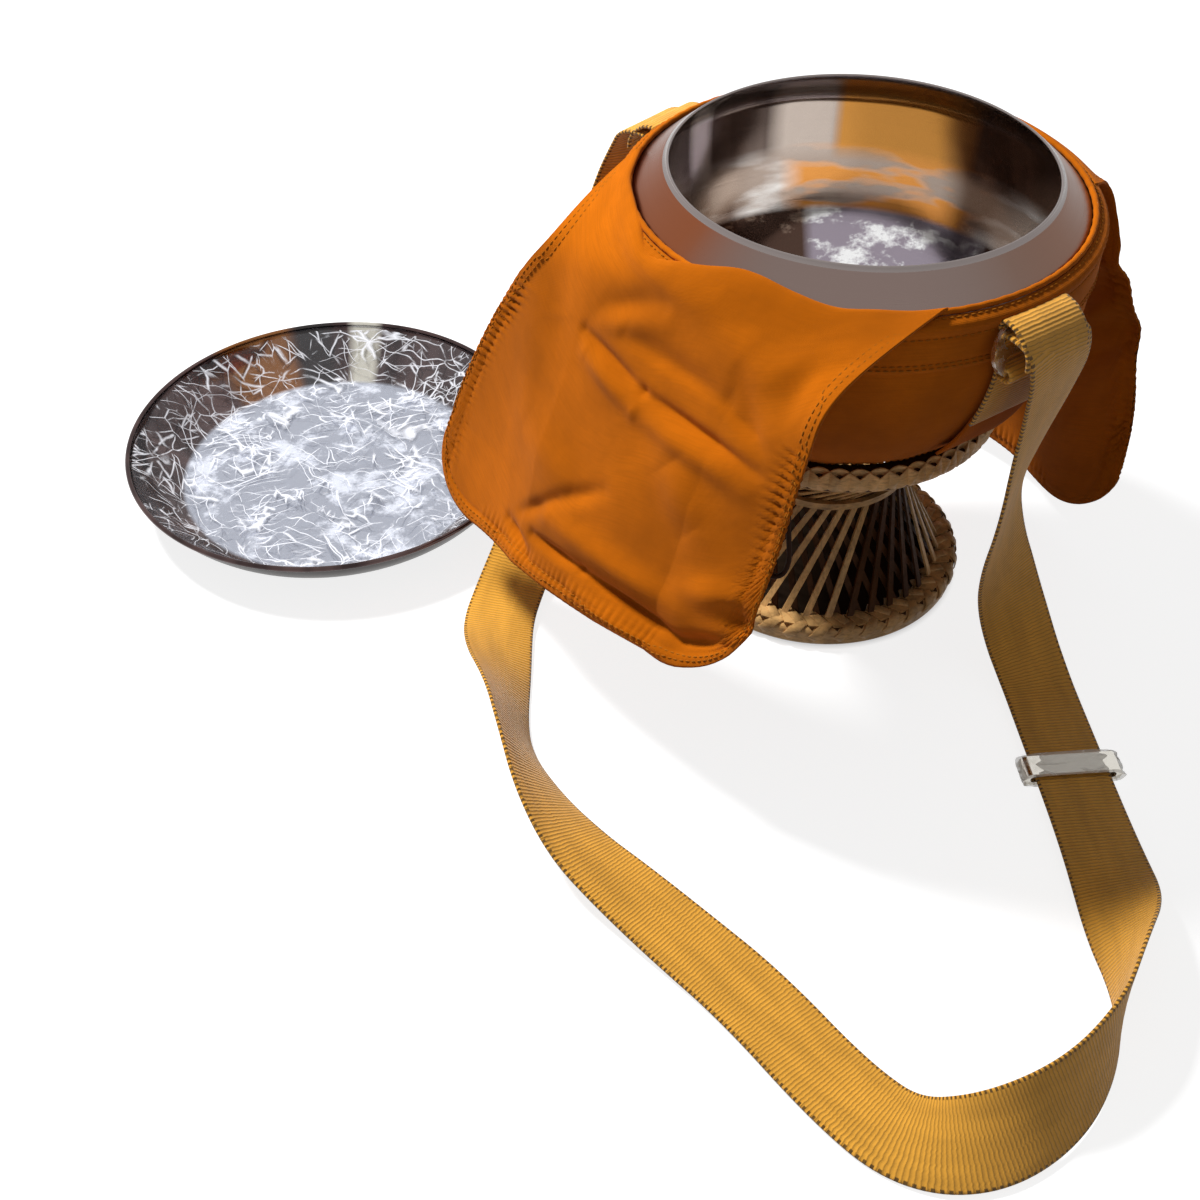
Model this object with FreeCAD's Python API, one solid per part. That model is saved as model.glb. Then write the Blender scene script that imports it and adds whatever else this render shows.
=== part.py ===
"""Alms bowl in its cotton sling on a woven bamboo stand, with its lid beside it.

Millimetres, +Z up. The origin is the centre of the stand's foot, on the floor.
The sling's shoulder strap is sewn on at two opposite sides, and its two cover
flaps hang from the other two sides.
"""
import FreeCAD
import Part
import math
import os

V = FreeCAD.Vector
UP = V(0, 0, 1)

# Bowl: polished steel, a half sphere under a short wall and a conical collar
BOWL_RADIUS = 114.5
BOWL_WALL = 1.2
BOWL_FLOOR_Z = 97.5
BOWL_BAND_HEIGHT = 8.0
SHOULDER_RADIUS = 16.0
COLLAR_LEAN = 48.7
MOUTH_RADIUS = 93.0

# Lid: a shallow steel dish, standing upside down beside the stand
LID_RADIUS = 121.0
LID_TOP_RADIUS = 92.0
LID_HEIGHT = 29.0
LID_WALL = 1.0
LID_BULGE = 4.0
LID_BEAD = 1.5
LID_PLACE = (-287.6, 71.7)

# Stand: plaited rings joined by two families of crossing bamboo splints
STAND_RADIUS = 80.0
BORDER_WIDTH = 15.0
BORDER_HEIGHT = 11.0
BORDER_ROUND = 3.0
CORE_DIAMETER = 5.0
TOP_BORDER_RADIUS = 84.5
TOP_BORDER_WIDTH = 13.0
TOP_BORDER_HEIGHT = 12.0
WAIST_RADIUS = 40.0
WAIST_Z = 70.0
WAIST_HOOP_HEIGHT = 4.0
WAIST_HOOP_THICKNESS = 3.0
WAIST_HOOP_ROOM = 1.6
SPLINT_COUNT = 36
SPLINT_WIDTH = 3.6
SPLINT_THICKNESS = 1.3
SPLINT_TWIST = 30.0
SPLINT_GAP = 1.0
TAB_LENGTH = 9.0
TAB_WIDTH = 6.0
TAB_THICKNESS = 1.4
TAB_SKEW = 4.0

# Sling: cotton body, bottom, casing with its drawcord, and two flaps
RIGHT_SIDE = -56.0
LEFT_SIDE = 136.0
CLOTH = 1.6
CLEARANCE = 0.3
BOTTOM_SEAM_DROP = 86.0
CASING_DROP = 6.0
CASING_THICKNESS = 2.4
CASING_TOP_ANGLE = 41.5
CHANNEL_RADIUS = 1.7
CHANNEL_WALL = 1.0
DRAWCORD_DIAMETER = 2.6
PIPING_DIAMETER = 3.0

FLAP_HINGE_ROOM = 7.0
FLAP_HINGE_RISE = 8.0
FLAP_THICKNESS = 2.4
FLAP_CORNER = 40.0
FLAP_BULGE = 12.0
FLAP_FOLD = 5.0
ROOT_THICKNESS = 1.8
ROOT_SLOPE = 6.5
ROOT_BACK = 45.0

# Each flap: the side that it hangs on, its lean, then its outline as along and down.
# Both side edges are arcs from the hinge through a middle point to the foot.
FRONT_FLAP = {"azimuth": -140.0, "lean": 20.0, "root": (99.0, 99.0),
              "left": [(-81.0, 0.0), (-114.0, 62.0), (-137.0, 180.0)],
              "right": [(98.0, 0.0), (101.0, 76.0), (100.0, 152.0)]}
BACK_FLAP = {"azimuth": 40.0, "lean": 4.0, "root": (72.0, 72.0),
             "left": [(-54.0, 0.0), (-90.0, 62.0), (-103.0, 202.0)],
             "right": [(54.0, 0.0), (90.0, 62.0), (103.0, 202.0)]}

# Webbing, buckles and the slider on the strap
WEBBING_WIDTH = 38.0
WEBBING_THICKNESS = 1.8
ANCHOR_DROP = 72.0
BUCKLE_RISE = 2.0
BUCKLE_LENGTH = 52.0
BUCKLE_HEIGHT = 26.0
BUCKLE_THICKNESS = 2.2
BUCKLE_BAR = 3.6
BUCKLE_LEAN = 14.0
SLOT_SIDE_ROOM = 1.0
SLIDER_LENGTH = 50.0
SLIDER_DEPTH = 12.0
SLIDER_BAR = 2.0
SLIDER_OPENING = 4.0
SLIDER_ALONG = 0.42

# Shoulder strap: x, y, z, then the azimuth and rise of its width, all by hand
STRAP_ROUTE = [
    (66.0, -97.8, 221.4, 34, 0),
    (74.0, -109.7, 222.6, 34, 0),
    (79.0, -110.0, 207.0, 38, 0),
    (80.0, -102.0, 181.0, 44, 0),
    (77.0, -98.5, 150.0, 54, 0),
    (73.5, -99.0, 118.0, 66, 0),
    (77.0, -95.0, 84.0, 48, 0),
    (87.0, -89.5, 50.0, 26, 0),
    (98.0, -93.5, 21.0, 12, 0),
    (105.0, -108.0, 7.0, 7, 0),
    (108.0, -127.0, 3.5, 5, 0),
    (116.5, -228.0, 3.5, 5, 0),
    (114.0, -262.0, 12.2, 3, 36),
    (107.0, -294.0, 19.6, -20, 80),
    (96.0, -326.0, 19.6, 130, 76),
    (70.0, -357.0, 17.5, 116, 56),
    (34.0, -374.0, 12.4, 98, 34),
    (3.0, -370.0, 4.0, 72, 8),
    (-22.0, -346.0, 1.6, 50, 0),
    (-57.0, -299.0, 1.4, 38, 0),
    (-88.0, -268.0, 2.6, 43, -3),
    (-112.0, -245.0, 6.0, 42, -10),
    (-134.0, -224.0, 10.0, 36, -22),
    (-153.0, -196.0, 15.0, 26, -44),
    (-167.0, -163.0, 19.0, 14, -64),
    (-173.0, -133.0, 17.0, 8, -58),
    (-179.0, -94.0, 9.8, 6, -26),
    (-180.5, -64.0, 4.0, 1, -6),
    (-175.0, -38.0, 4.6, -5, 0),
    (-165.0, -11.0, 15.0, -14, 0),
    (-155.0, 11.0, 38.0, -22, 0),
    (-145.5, 31.0, 66.0, -28, 0),
    (-136.0, 50.0, 94.0, -26, 0),
    (-126.0, 68.0, 122.0, -14, 0),
    (-118.0, 84.0, 150.0, 8, 0),
    (-112.5, 96.0, 178.0, 30, 0),
    (-107.0, 101.0, 202.5, 44, 0),
    (-100.0, 96.5, 223.5, 46, 0),
    (-84.9, 82.0, 221.4, 46, 0),
]

# Drawcord's tail: a loop that hangs behind the front flap, by hand
TAIL_DIAMETER = 2.6
TAIL_ROUTE = [
    (-36.7, -113.1, 214.0),
    (-37.2, -117.2, 194.0),
    (-37.8, -119.0, 166.0),
    (-36.6, -119.4, 136.0),
    (-34.4, -119.0, 112.0),
    (-32.6, -118.6, 99.0),
    (-35.2, -119.0, 88.0),
    (-44.6, -118.0, 88.0),
    (-47.2, -116.2, 99.0),
    (-46.6, -115.6, 112.0),
    (-45.2, -115.4, 138.0),
    (-45.8, -115.0, 167.0),
    (-46.2, -113.6, 192.0),
    (-45.3, -109.9, 214.0),
]


def export(shape, name):
    shape.exportStep(os.path.join("parts", name + ".step"))


def polar(radius, degrees, z):
    angle = math.radians(degrees)
    return V(radius * math.cos(angle), radius * math.sin(angle), z)


def out_and_side(azimuth):
    """Unit vectors that point out of the bowl and along its edge at an azimuth."""
    out = polar(1.0, azimuth, 0.0)
    return out, UP.cross(out)


def arc(start, middle, end):
    return Part.Arc(start, middle, end).toShape()


def line(start, end):
    return Part.makeLine(start, end)


def revolve(edges):
    """Turn a closed profile drawn in the XZ plane about the Z axis."""
    wire = Part.Wire(Part.__sortEdges__(edges))
    return Part.Face(wire).revolve(V(0, 0, 0), UP, 360)


def on_circle(centre, radius, degrees):
    angle = math.radians(degrees)
    return V(centre.x + radius * math.cos(angle), 0, centre.z + radius * math.sin(angle))


def arc_about(centre, radius, start, end):
    return arc(on_circle(centre, radius, start),
               on_circle(centre, radius, (start + end) / 2),
               on_circle(centre, radius, end))


BOWL_CENTRE = V(0, 0, BOWL_FLOOR_Z + BOWL_RADIUS)
BAND_TOP_Z = BOWL_CENTRE.z + BOWL_BAND_HEIGHT
# The sling's own heights are drops and rises from the bowl's widest line
BOTTOM_SEAM_Z = BOWL_CENTRE.z - BOTTOM_SEAM_DROP
CASING_FOOT_Z = BOWL_CENTRE.z - CASING_DROP
ANCHOR_FOOT_Z = BOWL_CENTRE.z - ANCHOR_DROP
BUCKLE_Z = BOWL_CENTRE.z + BUCKLE_RISE
FLAP_HINGE_OUT = BOWL_RADIUS + FLAP_HINGE_ROOM
FLAP_HINGE_Z = BOWL_CENTRE.z + FLAP_HINGE_RISE
SHOULDER_CENTRE = V(BOWL_RADIUS - SHOULDER_RADIUS, 0, BAND_TOP_Z)
COLLAR_DIRECTION = V(-math.sin(math.radians(COLLAR_LEAN)), 0, math.cos(math.radians(COLLAR_LEAN)))
COLLAR_START = on_circle(SHOULDER_CENTRE, SHOULDER_RADIUS, COLLAR_LEAN)
COLLAR_LENGTH = (COLLAR_START.x - MOUTH_RADIUS) / -COLLAR_DIRECTION.x
RIM_Z = COLLAR_START.z + COLLAR_DIRECTION.z * COLLAR_LENGTH
CHANNEL_ANGLE = COLLAR_LEAN * 0.62
CHANNEL_OUT = SHOULDER_RADIUS + CLEARANCE + CHANNEL_WALL + CHANNEL_RADIUS
CHANNEL = on_circle(SHOULDER_CENTRE, CHANNEL_OUT, CHANNEL_ANGLE)


def shell(inner, outer, foot_z, top_angle=COLLAR_LEAN):
    """A coat over the bowl, from a height up to an angle on the shoulder.

    inner and outer are its distances from the bowl's outside. foot_z None closes
    it at the bottom of the bowl, and at the shoulder's full angle it goes on up
    the collar to the rim.
    """
    edges = []
    ends = []
    for offset in (inner, outer):
        radius = BOWL_RADIUS + offset
        if foot_z is None:
            start = -90.0
        else:
            drop = min(0.0, foot_z - BOWL_CENTRE.z)
            start = math.degrees(math.asin(drop / radius))
        foot = on_circle(BOWL_CENTRE, radius, start)
        if start < -0.01:
            edges.append(arc_about(BOWL_CENTRE, radius, start, 0))
            band_foot = on_circle(BOWL_CENTRE, radius, 0)
        else:
            foot = V(radius, 0, foot_z)
            band_foot = foot
        band_top = V(radius, 0, BAND_TOP_Z)
        edges.append(line(band_foot, band_top))
        turn = SHOULDER_RADIUS + offset
        edges.append(arc_about(SHOULDER_CENTRE, turn, 0, top_angle))
        top = on_circle(SHOULDER_CENTRE, turn, top_angle)
        if top_angle == COLLAR_LEAN:
            bend = top
            top = bend + COLLAR_DIRECTION * COLLAR_LENGTH
            edges.append(line(bend, top))
        ends.append((foot, top))
    edges.append(line(ends[0][1], ends[1][1]))
    edges.append(line(ends[0][0], ends[1][0]))
    return revolve(edges)


def make_bowl():
    return shell(-BOWL_WALL, 0.0, None)


def make_lid():
    corner = V(LID_TOP_RADIUS, 0, 0)
    edge = V(LID_RADIUS - LID_BEAD, 0, LID_HEIGHT - LID_BEAD)
    chord = edge - corner
    outward = V(chord.z, 0, -chord.x).normalize()
    middle = (corner + edge) * 0.5 + outward * LID_BULGE
    wall = arc(corner, middle, edge)
    centre = wall.Curve.Center
    radius = wall.Curve.Radius
    inside = radius - LID_WALL
    inner_corner = V(centre.x + math.sqrt(inside ** 2 - (LID_WALL - centre.z) ** 2), 0, LID_WALL)
    away = (edge - centre).normalize()
    inner_edge = centre + away * inside
    halfway = ((inner_corner - centre).normalize() + away).normalize()
    profile = [
        line(V(0, 0, 0), corner),
        wall,
        line(edge, inner_edge),
        arc(inner_edge, centre + halfway * inside, inner_corner),
        line(inner_corner, V(0, 0, LID_WALL)),
        line(V(0, 0, LID_WALL), V(0, 0, 0)),
    ]
    dish = revolve(profile)
    bead = Part.makeTorus(edge.x, LID_BEAD, V(0, 0, edge.z), UP)
    lid = dish.fuse(bead).removeSplitter()
    lid.translate(V(LID_PLACE[0], LID_PLACE[1], 0))
    return lid


def ring(outer_radius, width, foot_z, height):
    outer = Part.makeCylinder(outer_radius, height, V(0, 0, foot_z))
    return outer.cut(Part.makeCylinder(outer_radius - width, height, V(0, 0, foot_z)))


def torus(radius, diameter, z):
    return Part.makeTorus(radius, diameter / 2, V(0, 0, z), UP)


TOP_RING_RADIUS = TOP_BORDER_RADIUS - TOP_BORDER_WIDTH / 2
SEAT_RADIUS = BOWL_RADIUS + CLEARANCE + CLOTH + CLEARANCE + TOP_BORDER_HEIGHT / 2
TOP_RING_Z = BOWL_CENTRE.z - math.sqrt(SEAT_RADIUS ** 2 - TOP_RING_RADIUS ** 2)
TOP_BORDER_Z = TOP_RING_Z - TOP_BORDER_HEIGHT / 2
BASE_RING_RADIUS = STAND_RADIUS - BORDER_WIDTH / 2


def border(outer_radius, width, foot_z, height):
    """A plaited border: a soft-cornered ring with the bore of its core hoop."""
    body = ring(outer_radius, width, foot_z, height)
    body = body.makeFillet(BORDER_ROUND, [e for e in body.Edges if e.Length > width * 2])
    bore = torus(outer_radius - width / 2, CORE_DIAMETER + CLEARANCE, foot_z + height / 2)
    return body.cut(bore)


def make_base_border():
    return border(STAND_RADIUS, BORDER_WIDTH, 0.0, BORDER_HEIGHT)


def make_base_core():
    return torus(BASE_RING_RADIUS, CORE_DIAMETER, BORDER_HEIGHT / 2)


def sling_outside(extra):
    return Part.makeSphere(BOWL_RADIUS + CLEARANCE + CLOTH + extra, BOWL_CENTRE)


def make_top_border():
    body = border(TOP_BORDER_RADIUS, TOP_BORDER_WIDTH, TOP_BORDER_Z, TOP_BORDER_HEIGHT)
    return body.cut(sling_outside(CLEARANCE))


def make_top_core():
    return torus(TOP_RING_RADIUS, CORE_DIAMETER, TOP_RING_Z)


def splint(foot_radius, foot_z, waist_radius, head_radius, azimuth, twist):
    """One split cane: a flat strip from the foot ring to the waist to the top ring."""
    stations = [
        (foot_radius, azimuth, foot_z),
        (waist_radius, azimuth + twist, WAIST_Z),
        (head_radius, azimuth + 2 * twist, TOP_BORDER_Z),
    ]
    wires = []
    for radius, angle, z in stations:
        out, side = out_and_side(angle)
        centre = out * radius + UP * z
        half_out = out * (SPLINT_THICKNESS / 2)
        half_side = side * (SPLINT_WIDTH / 2)
        corners = [centre - half_out - half_side, centre + half_out - half_side,
                   centre + half_out + half_side, centre - half_out + half_side]
        wires.append(Part.makePolygon(corners + corners[:1]))
    return Part.makeLoft(wires, True, True)


STEP = 360.0 / SPLINT_COUNT


def make_splints(inside, twist, foot_z, first):
    foot = BASE_RING_RADIUS - TAB_LENGTH / 2 + SPLINT_THICKNESS - inside
    head = TOP_RING_RADIUS - inside
    waist = WAIST_RADIUS - inside
    return Part.makeCompound([splint(foot, foot_z, waist, head, first + STEP * i, twist)
                              for i in range(SPLINT_COUNT)])


def make_tabs():
    """The outer splints' ends, turned outwards over the border as slanting tabs."""
    inner = BASE_RING_RADIUS - TAB_LENGTH / 2
    tabs = []
    for i in range(SPLINT_COUNT):
        edge = []
        for radius, azimuth in ((inner, STEP * i), (inner + TAB_LENGTH, STEP * i + TAB_SKEW)):
            out, side = out_and_side(azimuth)
            edge.append((out * radius - side * (TAB_WIDTH / 2), out * radius + side * (TAB_WIDTH / 2)))
        corners = [edge[0][0], edge[1][0], edge[1][1], edge[0][1]]
        tab = Part.Face(Part.makePolygon(corners + corners[:1]))
        tab.translate(UP * BORDER_HEIGHT)
        tabs.append(tab.extrude(UP * TAB_THICKNESS))
    return Part.makeCompound(tabs)


def waist_hoop(inner_radius):
    return ring(inner_radius + WAIST_HOOP_THICKNESS, WAIST_HOOP_THICKNESS,
                WAIST_Z - WAIST_HOOP_HEIGHT / 2, WAIST_HOOP_HEIGHT)


def make_sling_body():
    top = CASING_FOOT_Z
    body = shell(CLEARANCE, CLEARANCE + CLOTH, BOTTOM_SEAM_Z, CASING_TOP_ANGLE)
    cut = Part.makeCylinder(BOWL_RADIUS * 2, BOWL_RADIUS, V(0, 0, top))
    return body.cut(cut)


def make_sling_bottom():
    cap = shell(CLEARANCE, CLEARANCE + CLOTH, None, CASING_TOP_ANGLE)
    keep = shell(CLEARANCE, CLEARANCE + CLOTH, BOTTOM_SEAM_Z, CASING_TOP_ANGLE)
    return cap.cut(keep)


def make_casing():
    """The mouth band, with the drawcord's channel along the shoulder."""
    band = shell(CLEARANCE, CLEARANCE + CASING_THICKNESS, CASING_FOOT_Z,
                 CASING_TOP_ANGLE)
    tunnel = Part.makeTorus(CHANNEL.x, CHANNEL_RADIUS + CHANNEL_WALL, V(0, 0, CHANNEL.z), UP)
    band = band.fuse(tunnel)
    return band.cut(torus(CHANNEL.x, 2 * CHANNEL_RADIUS, CHANNEL.z))


def make_drawcord():
    return torus(CHANNEL.x, DRAWCORD_DIAMETER, CHANNEL.z)


def make_piping():
    lift = PIPING_DIAMETER / 2 + CLEARANCE
    turn = SHOULDER_RADIUS + lift
    centre = on_circle(SHOULDER_CENTRE, turn, CASING_TOP_ANGLE + math.degrees(lift / turn))
    return torus(centre.x, PIPING_DIAMETER, centre.z)


def flap_frame(flap):
    """Place and axes of a flap: its hinge line's middle, out, side and down the cloth."""
    out, side = out_and_side(flap["azimuth"])
    lean = math.radians(flap["lean"])
    hinge = out * FLAP_HINGE_OUT + UP * FLAP_HINGE_Z
    down = out * math.sin(lean) - UP * math.cos(lean)
    face = out * math.cos(lean) + UP * math.sin(lean)
    return hinge, side, down, face


def flap_section(place, side, face, half, share):
    """A wavy slice across a flap: a wide crown between two shallow folds."""
    crown = FLAP_BULGE * share
    fold = FLAP_FOLD * share
    waves = [(-1.0, -crown), (-0.68, -0.45 * crown - fold), (-0.36, 0.0), (0.0, 0.35 * crown),
             (0.36, 0.0), (0.68, -0.45 * crown + fold), (1.0, -crown)]
    sides = []
    for layer in (-FLAP_THICKNESS / 2, FLAP_THICKNESS / 2):
        sides.append([place + side * (half * along) + face * (lift + layer) for along, lift in waves])
    low, high = sides
    edges = [arc(*low[0:3]), arc(*low[2:5]), arc(*low[4:7]), line(low[6], high[6]),
             arc(*high[6:3:-1]), arc(*high[4:1:-1]), arc(*high[2::-1]), line(high[0], low[0])]
    return Part.Wire(edges)


def flap_outline(flap, place, side, down):
    """Outline of a flap: narrow at its hinge, with side edges that curve outwards."""
    left, right = [[place + side * along + down * depth for along, depth in flap[edge]]
                   for edge in ("left", "right")]
    return Part.Wire([arc(*left), line(left[2], right[2]), arc(*right[::-1]), line(right[0], left[0])])


def make_flap(flap):
    place, side, down, face = flap_frame(flap)
    reach = FLAP_BULGE * 4
    half = max(abs(along) for along, depth in flap["left"] + flap["right"])
    length = max(depth for along, depth in flap["left"] + flap["right"])
    outline = Part.Face(flap_outline(flap, place - face * reach, side, down))
    block = outline.extrude(face * (2 * reach))
    foot = [e for e in block.Edges if abs(e.Length - 2 * reach) < 0.01
            and (e.CenterOfMass - place).dot(down) > length / 2]
    block = block.makeFillet(FLAP_CORNER, foot)
    slices = []
    for share in (0.0, 0.2, 0.5, 0.8, 1.05):
        wave = min(max(share * 1.4, 0.05), 1.0)
        slices.append(flap_section(place + down * (length * share), side, face, half * 1.02, wave))
    return Part.makeLoft(slices, True, True).common(block)


def make_flap_root(flap):
    """The cloth from the casing out to a flap's hinge line, on both sides of the shoulder."""
    out, side = out_and_side(flap["azimuth"])
    slope = math.radians(ROOT_SLOPE)
    outward = out * math.cos(slope) - UP * math.sin(slope)
    normal = out * math.sin(slope) + UP * math.cos(slope)
    gap = FLAP_THICKNESS / 2 + 2 * CLEARANCE
    front = out * FLAP_HINGE_OUT + UP * FLAP_HINGE_Z - outward * gap
    length = (FLAP_HINGE_OUT - ROOT_BACK) / math.cos(slope) - gap
    corners = [front + side * flap["left"][0][0], front + side * flap["right"][0][0],
               front + side * flap["root"][1] - outward * length,
               front - side * flap["root"][0] - outward * length]
    base = Part.Face(Part.makePolygon(corners + corners[:1]))
    base.translate(normal * (-ROOT_THICKNESS / 2))
    plate = base.extrude(normal * ROOT_THICKNESS)
    room = CLEARANCE + CASING_THICKNESS + CLEARANCE
    inside = shell(-BOWL_WALL, room, CASING_FOOT_Z)
    hollow = Part.makeCylinder(BOWL_RADIUS - 2 * SHOULDER_RADIUS, RIM_Z, V(0, 0, 0))
    tunnel = Part.makeTorus(CHANNEL.x, CHANNEL_RADIUS + CHANNEL_WALL + CLEARANCE, V(0, 0, CHANNEL.z), UP)
    mouth = Part.makeCone(BOWL_RADIUS + room, MOUTH_RADIUS, RIM_Z - BAND_TOP_Z + room, V(0, 0, BAND_TOP_Z))
    trimmed = plate.cut(inside).cut(hollow).cut(tunnel).cut(mouth)
    return max(trimmed.Solids, key=lambda solid: solid.Volume)


ANCHOR_INSIDE = BOWL_RADIUS + CLEARANCE + CASING_THICKNESS + CLEARANCE
LOOP_ROOM = math.hypot(BUCKLE_BAR, BUCKLE_THICKNESS) / 2 + CLEARANCE


def plate_frame(azimuth):
    """Centre and axes of a buckle, lying on the anchor webbing at the shoulder."""
    out, side = out_and_side(azimuth)
    lean = math.radians(BUCKLE_LEAN)
    up = UP * math.cos(lean) - out * math.sin(lean)
    face = out * math.cos(lean) + UP * math.sin(lean)
    room = ANCHOR_INSIDE + WEBBING_THICKNESS + 2 * CLEARANCE
    place = out * (room + BUCKLE_THICKNESS / 2) + UP * BUCKLE_Z
    return place, side, up, face


def stadium(place, side, up, length, height):
    """A rounded-end plate outline."""
    radius = height / 2
    flat = length / 2 - radius
    right_top = place + side * flat + up * radius
    left_top = place - side * flat + up * radius
    right_low = place + side * flat - up * radius
    left_low = place - side * flat - up * radius
    return Part.Wire([line(left_top, right_top),
                      arc(right_top, place + side * (length / 2), right_low),
                      line(right_low, left_low),
                      arc(left_low, place - side * (length / 2), left_top)])


def make_buckle(azimuth):
    place, side, up, face = plate_frame(azimuth)
    back = place - face * (BUCKLE_THICKNESS / 2)
    plate = Part.Face(stadium(back, side, up, BUCKLE_LENGTH, BUCKLE_HEIGHT)).extrude(face * BUCKLE_THICKNESS)
    slot_height = (BUCKLE_HEIGHT - 3 * BUCKLE_BAR) / 2
    slot_length = WEBBING_WIDTH + 2 * SLOT_SIDE_ROOM
    offset = (BUCKLE_BAR + slot_height) / 2
    for sign in (-1, 1):
        centre = back + up * (sign * offset) - face * BUCKLE_THICKNESS
        slot = Part.Face(stadium(centre, side, up, slot_length, slot_height))
        plate = plate.cut(slot.extrude(face * (3 * BUCKLE_THICKNESS)))
    return plate


def make_anchor(azimuth):
    """Webbing sewn up the side of the sling, with a loop for the buckle's lower bar."""
    out, side = out_and_side(azimuth)
    inner = ANCHOR_INSIDE
    outer = inner + WEBBING_THICKNESS
    centre = UP * BOWL_CENTRE.z

    def at(radius, degrees):
        angle = math.radians(degrees)
        return centre + out * (radius * math.cos(angle)) + UP * (radius * math.sin(angle))

    low = math.degrees(math.asin((ANCHOR_FOOT_Z - BOWL_CENTRE.z) / inner))
    top = UP * (BAND_TOP_Z - BOWL_CENTRE.z)
    edges = [arc(at(inner, low), at(inner, low / 2), at(inner, 0)),
             line(at(inner, 0), at(inner, 0) + top),
             line(at(inner, 0) + top, at(outer, 0) + top),
             line(at(outer, 0) + top, at(outer, 0)),
             arc(at(outer, 0), at(outer, low / 2), at(outer, low)),
             line(at(outer, low), at(inner, low))]
    strip = Part.Face(Part.Wire(edges))
    strip.translate(side * (-WEBBING_WIDTH / 2))
    strip = strip.extrude(side * WEBBING_WIDTH)

    place, side, up, face = plate_frame(azimuth)
    bar = place - up * (BUCKLE_HEIGHT / 2 - BUCKLE_BAR / 2)
    loop = webbing_loop(bar, out, side, LOOP_ROOM + WEBBING_THICKNESS)
    loop = loop.cut(webbing_loop(bar, out, side, LOOP_ROOM))
    loop = loop.cut(Part.makeSphere(inner, centre))
    return strip.fuse(loop).removeSplitter()


def webbing_loop(bar, out, side, radius):
    """A solid hairpin from inside the sling's wall out and round a bar."""
    root = bar - out * (2 * BUCKLE_HEIGHT / 3)
    top = UP * radius
    edges = [line(root + top, bar + top), arc(bar + top, bar + out * radius, bar - top),
             line(bar - top, root - top), line(root - top, root + top)]
    tab = Part.Face(Part.Wire(edges))
    tab.translate(side * (-WEBBING_WIDTH / 2))
    return tab.extrude(side * WEBBING_WIDTH)


def route_corners(points):
    """Tangent arcs at a route's inner points: start, middle, end, radius, angle."""
    corners = []
    for before, here, after in zip(points, points[1:], points[2:]):
        back = before - here
        ahead = after - here
        turn = math.pi - back.getAngle(ahead)
        reach = 0.45 * min(back.Length, ahead.Length)
        radius = reach / math.tan(turn / 2)
        back = back.normalize()
        ahead = ahead.normalize()
        middle = (back + ahead).normalize()
        centre = here + middle * (radius / math.cos(turn / 2))
        corners.append((here + back * reach, centre - middle * radius, here + ahead * reach, radius, turn))
    return corners


def route_wire(points):
    edges = []
    last = points[0]
    for start, middle, end, radius, turn in route_corners(points):
        edges.append(line(last, start))
        edges.append(arc(start, middle, end))
        last = end
    edges.append(line(last, points[-1]))
    return Part.Wire(edges)


def report_route(name, points, solid, area):
    radii = [corner[3] for corner in route_corners(points)]
    length = route_wire(points).Length
    print(name, "length %.0f" % length, "volume ratio %.4f" % (solid.Volume / (area * length)),
          "radii", " ".join("%.0f" % r for r in radii))


def width_at(index):
    """Direction of the strap's width at a point of its route."""
    azimuth, rise = STRAP_ROUTE[index][3:]
    flat = polar(1.0, azimuth, 0.0)
    angle = math.radians(rise)
    return flat * math.cos(angle) + UP * math.sin(angle)


def square_to(wide, along):
    return (wide - along * wide.dot(along)).normalize()


def strap_section(place, along, wide):
    thick = along.cross(wide).normalize() * (WEBBING_THICKNESS / 2)
    half = wide * (WEBBING_WIDTH / 2)
    return [place - half - thick, place + half - thick, place + half + thick, place - half + thick]


def strap_span(sections):
    """Four faces between two sections, or along an arc through three."""
    if len(sections) == 2:
        edges = [line(*pair) for pair in zip(*sections)]
    else:
        edges = [arc(*three) for three in zip(*sections)]
    return [Part.makeRuledSurface(edges[i - 1], edges[i]) for i in range(4)]


def end_face(section):
    return Part.Face(Part.makePolygon(section + section[:1]))


def make_strap():
    """The shoulder strap: flat webbing along straight runs and tangent arcs."""
    points = [V(*row[:3]) for row in STRAP_ROUTE]
    first = (points[1] - points[0]).normalize()
    last = (points[-1] - points[-2]).normalize()
    section = strap_section(points[0], first, square_to(width_at(0), first))
    faces = [end_face(section)]
    for index, (start, middle, end, radius, turn) in enumerate(route_corners(points), start=1):
        into = points[index] - points[index - 1]
        away = points[index + 1] - points[index]
        reach = (points[index] - start).Length
        before, here, after = [width_at(i) for i in (index - 1, index, index + 1)]
        early = reach / into.Length
        late = reach / away.Length
        into = into.normalize()
        away = away.normalize()
        through = (into + away).normalize()
        opening = strap_section(start, into, square_to(before * early + here * (1 - early), into))
        crown = strap_section(middle, through, square_to(here, through))
        closing = strap_section(end, away, square_to(after * late + here * (1 - late), away))
        faces += strap_span([section, opening])
        faces += strap_span([opening, crown, closing])
        section = closing
    closing = strap_section(points[-1], last, square_to(width_at(-1), last))
    faces += strap_span([section, closing])
    faces.append(end_face(closing))
    skin = Part.makeCompound(faces)
    skin.sewShape()
    strap = Part.makeSolid(skin.Shells[0])
    if strap.Volume < 0:
        strap.reverse()
    report_route("shoulder_strap", points, strap, WEBBING_WIDTH * WEBBING_THICKNESS)
    return strap


def make_tail():
    points = [V(*row) for row in TAIL_ROUTE]
    wire = route_wire(points)
    start = points[1] - points[0]
    circle = Part.Wire(Part.makeCircle(TAIL_DIAMETER / 2, points[0], start))
    tube = wire.makePipeShell([circle], True, True)
    report_route("drawcord_tail", points, tube, math.pi * TAIL_DIAMETER ** 2 / 4)
    return tube


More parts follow.
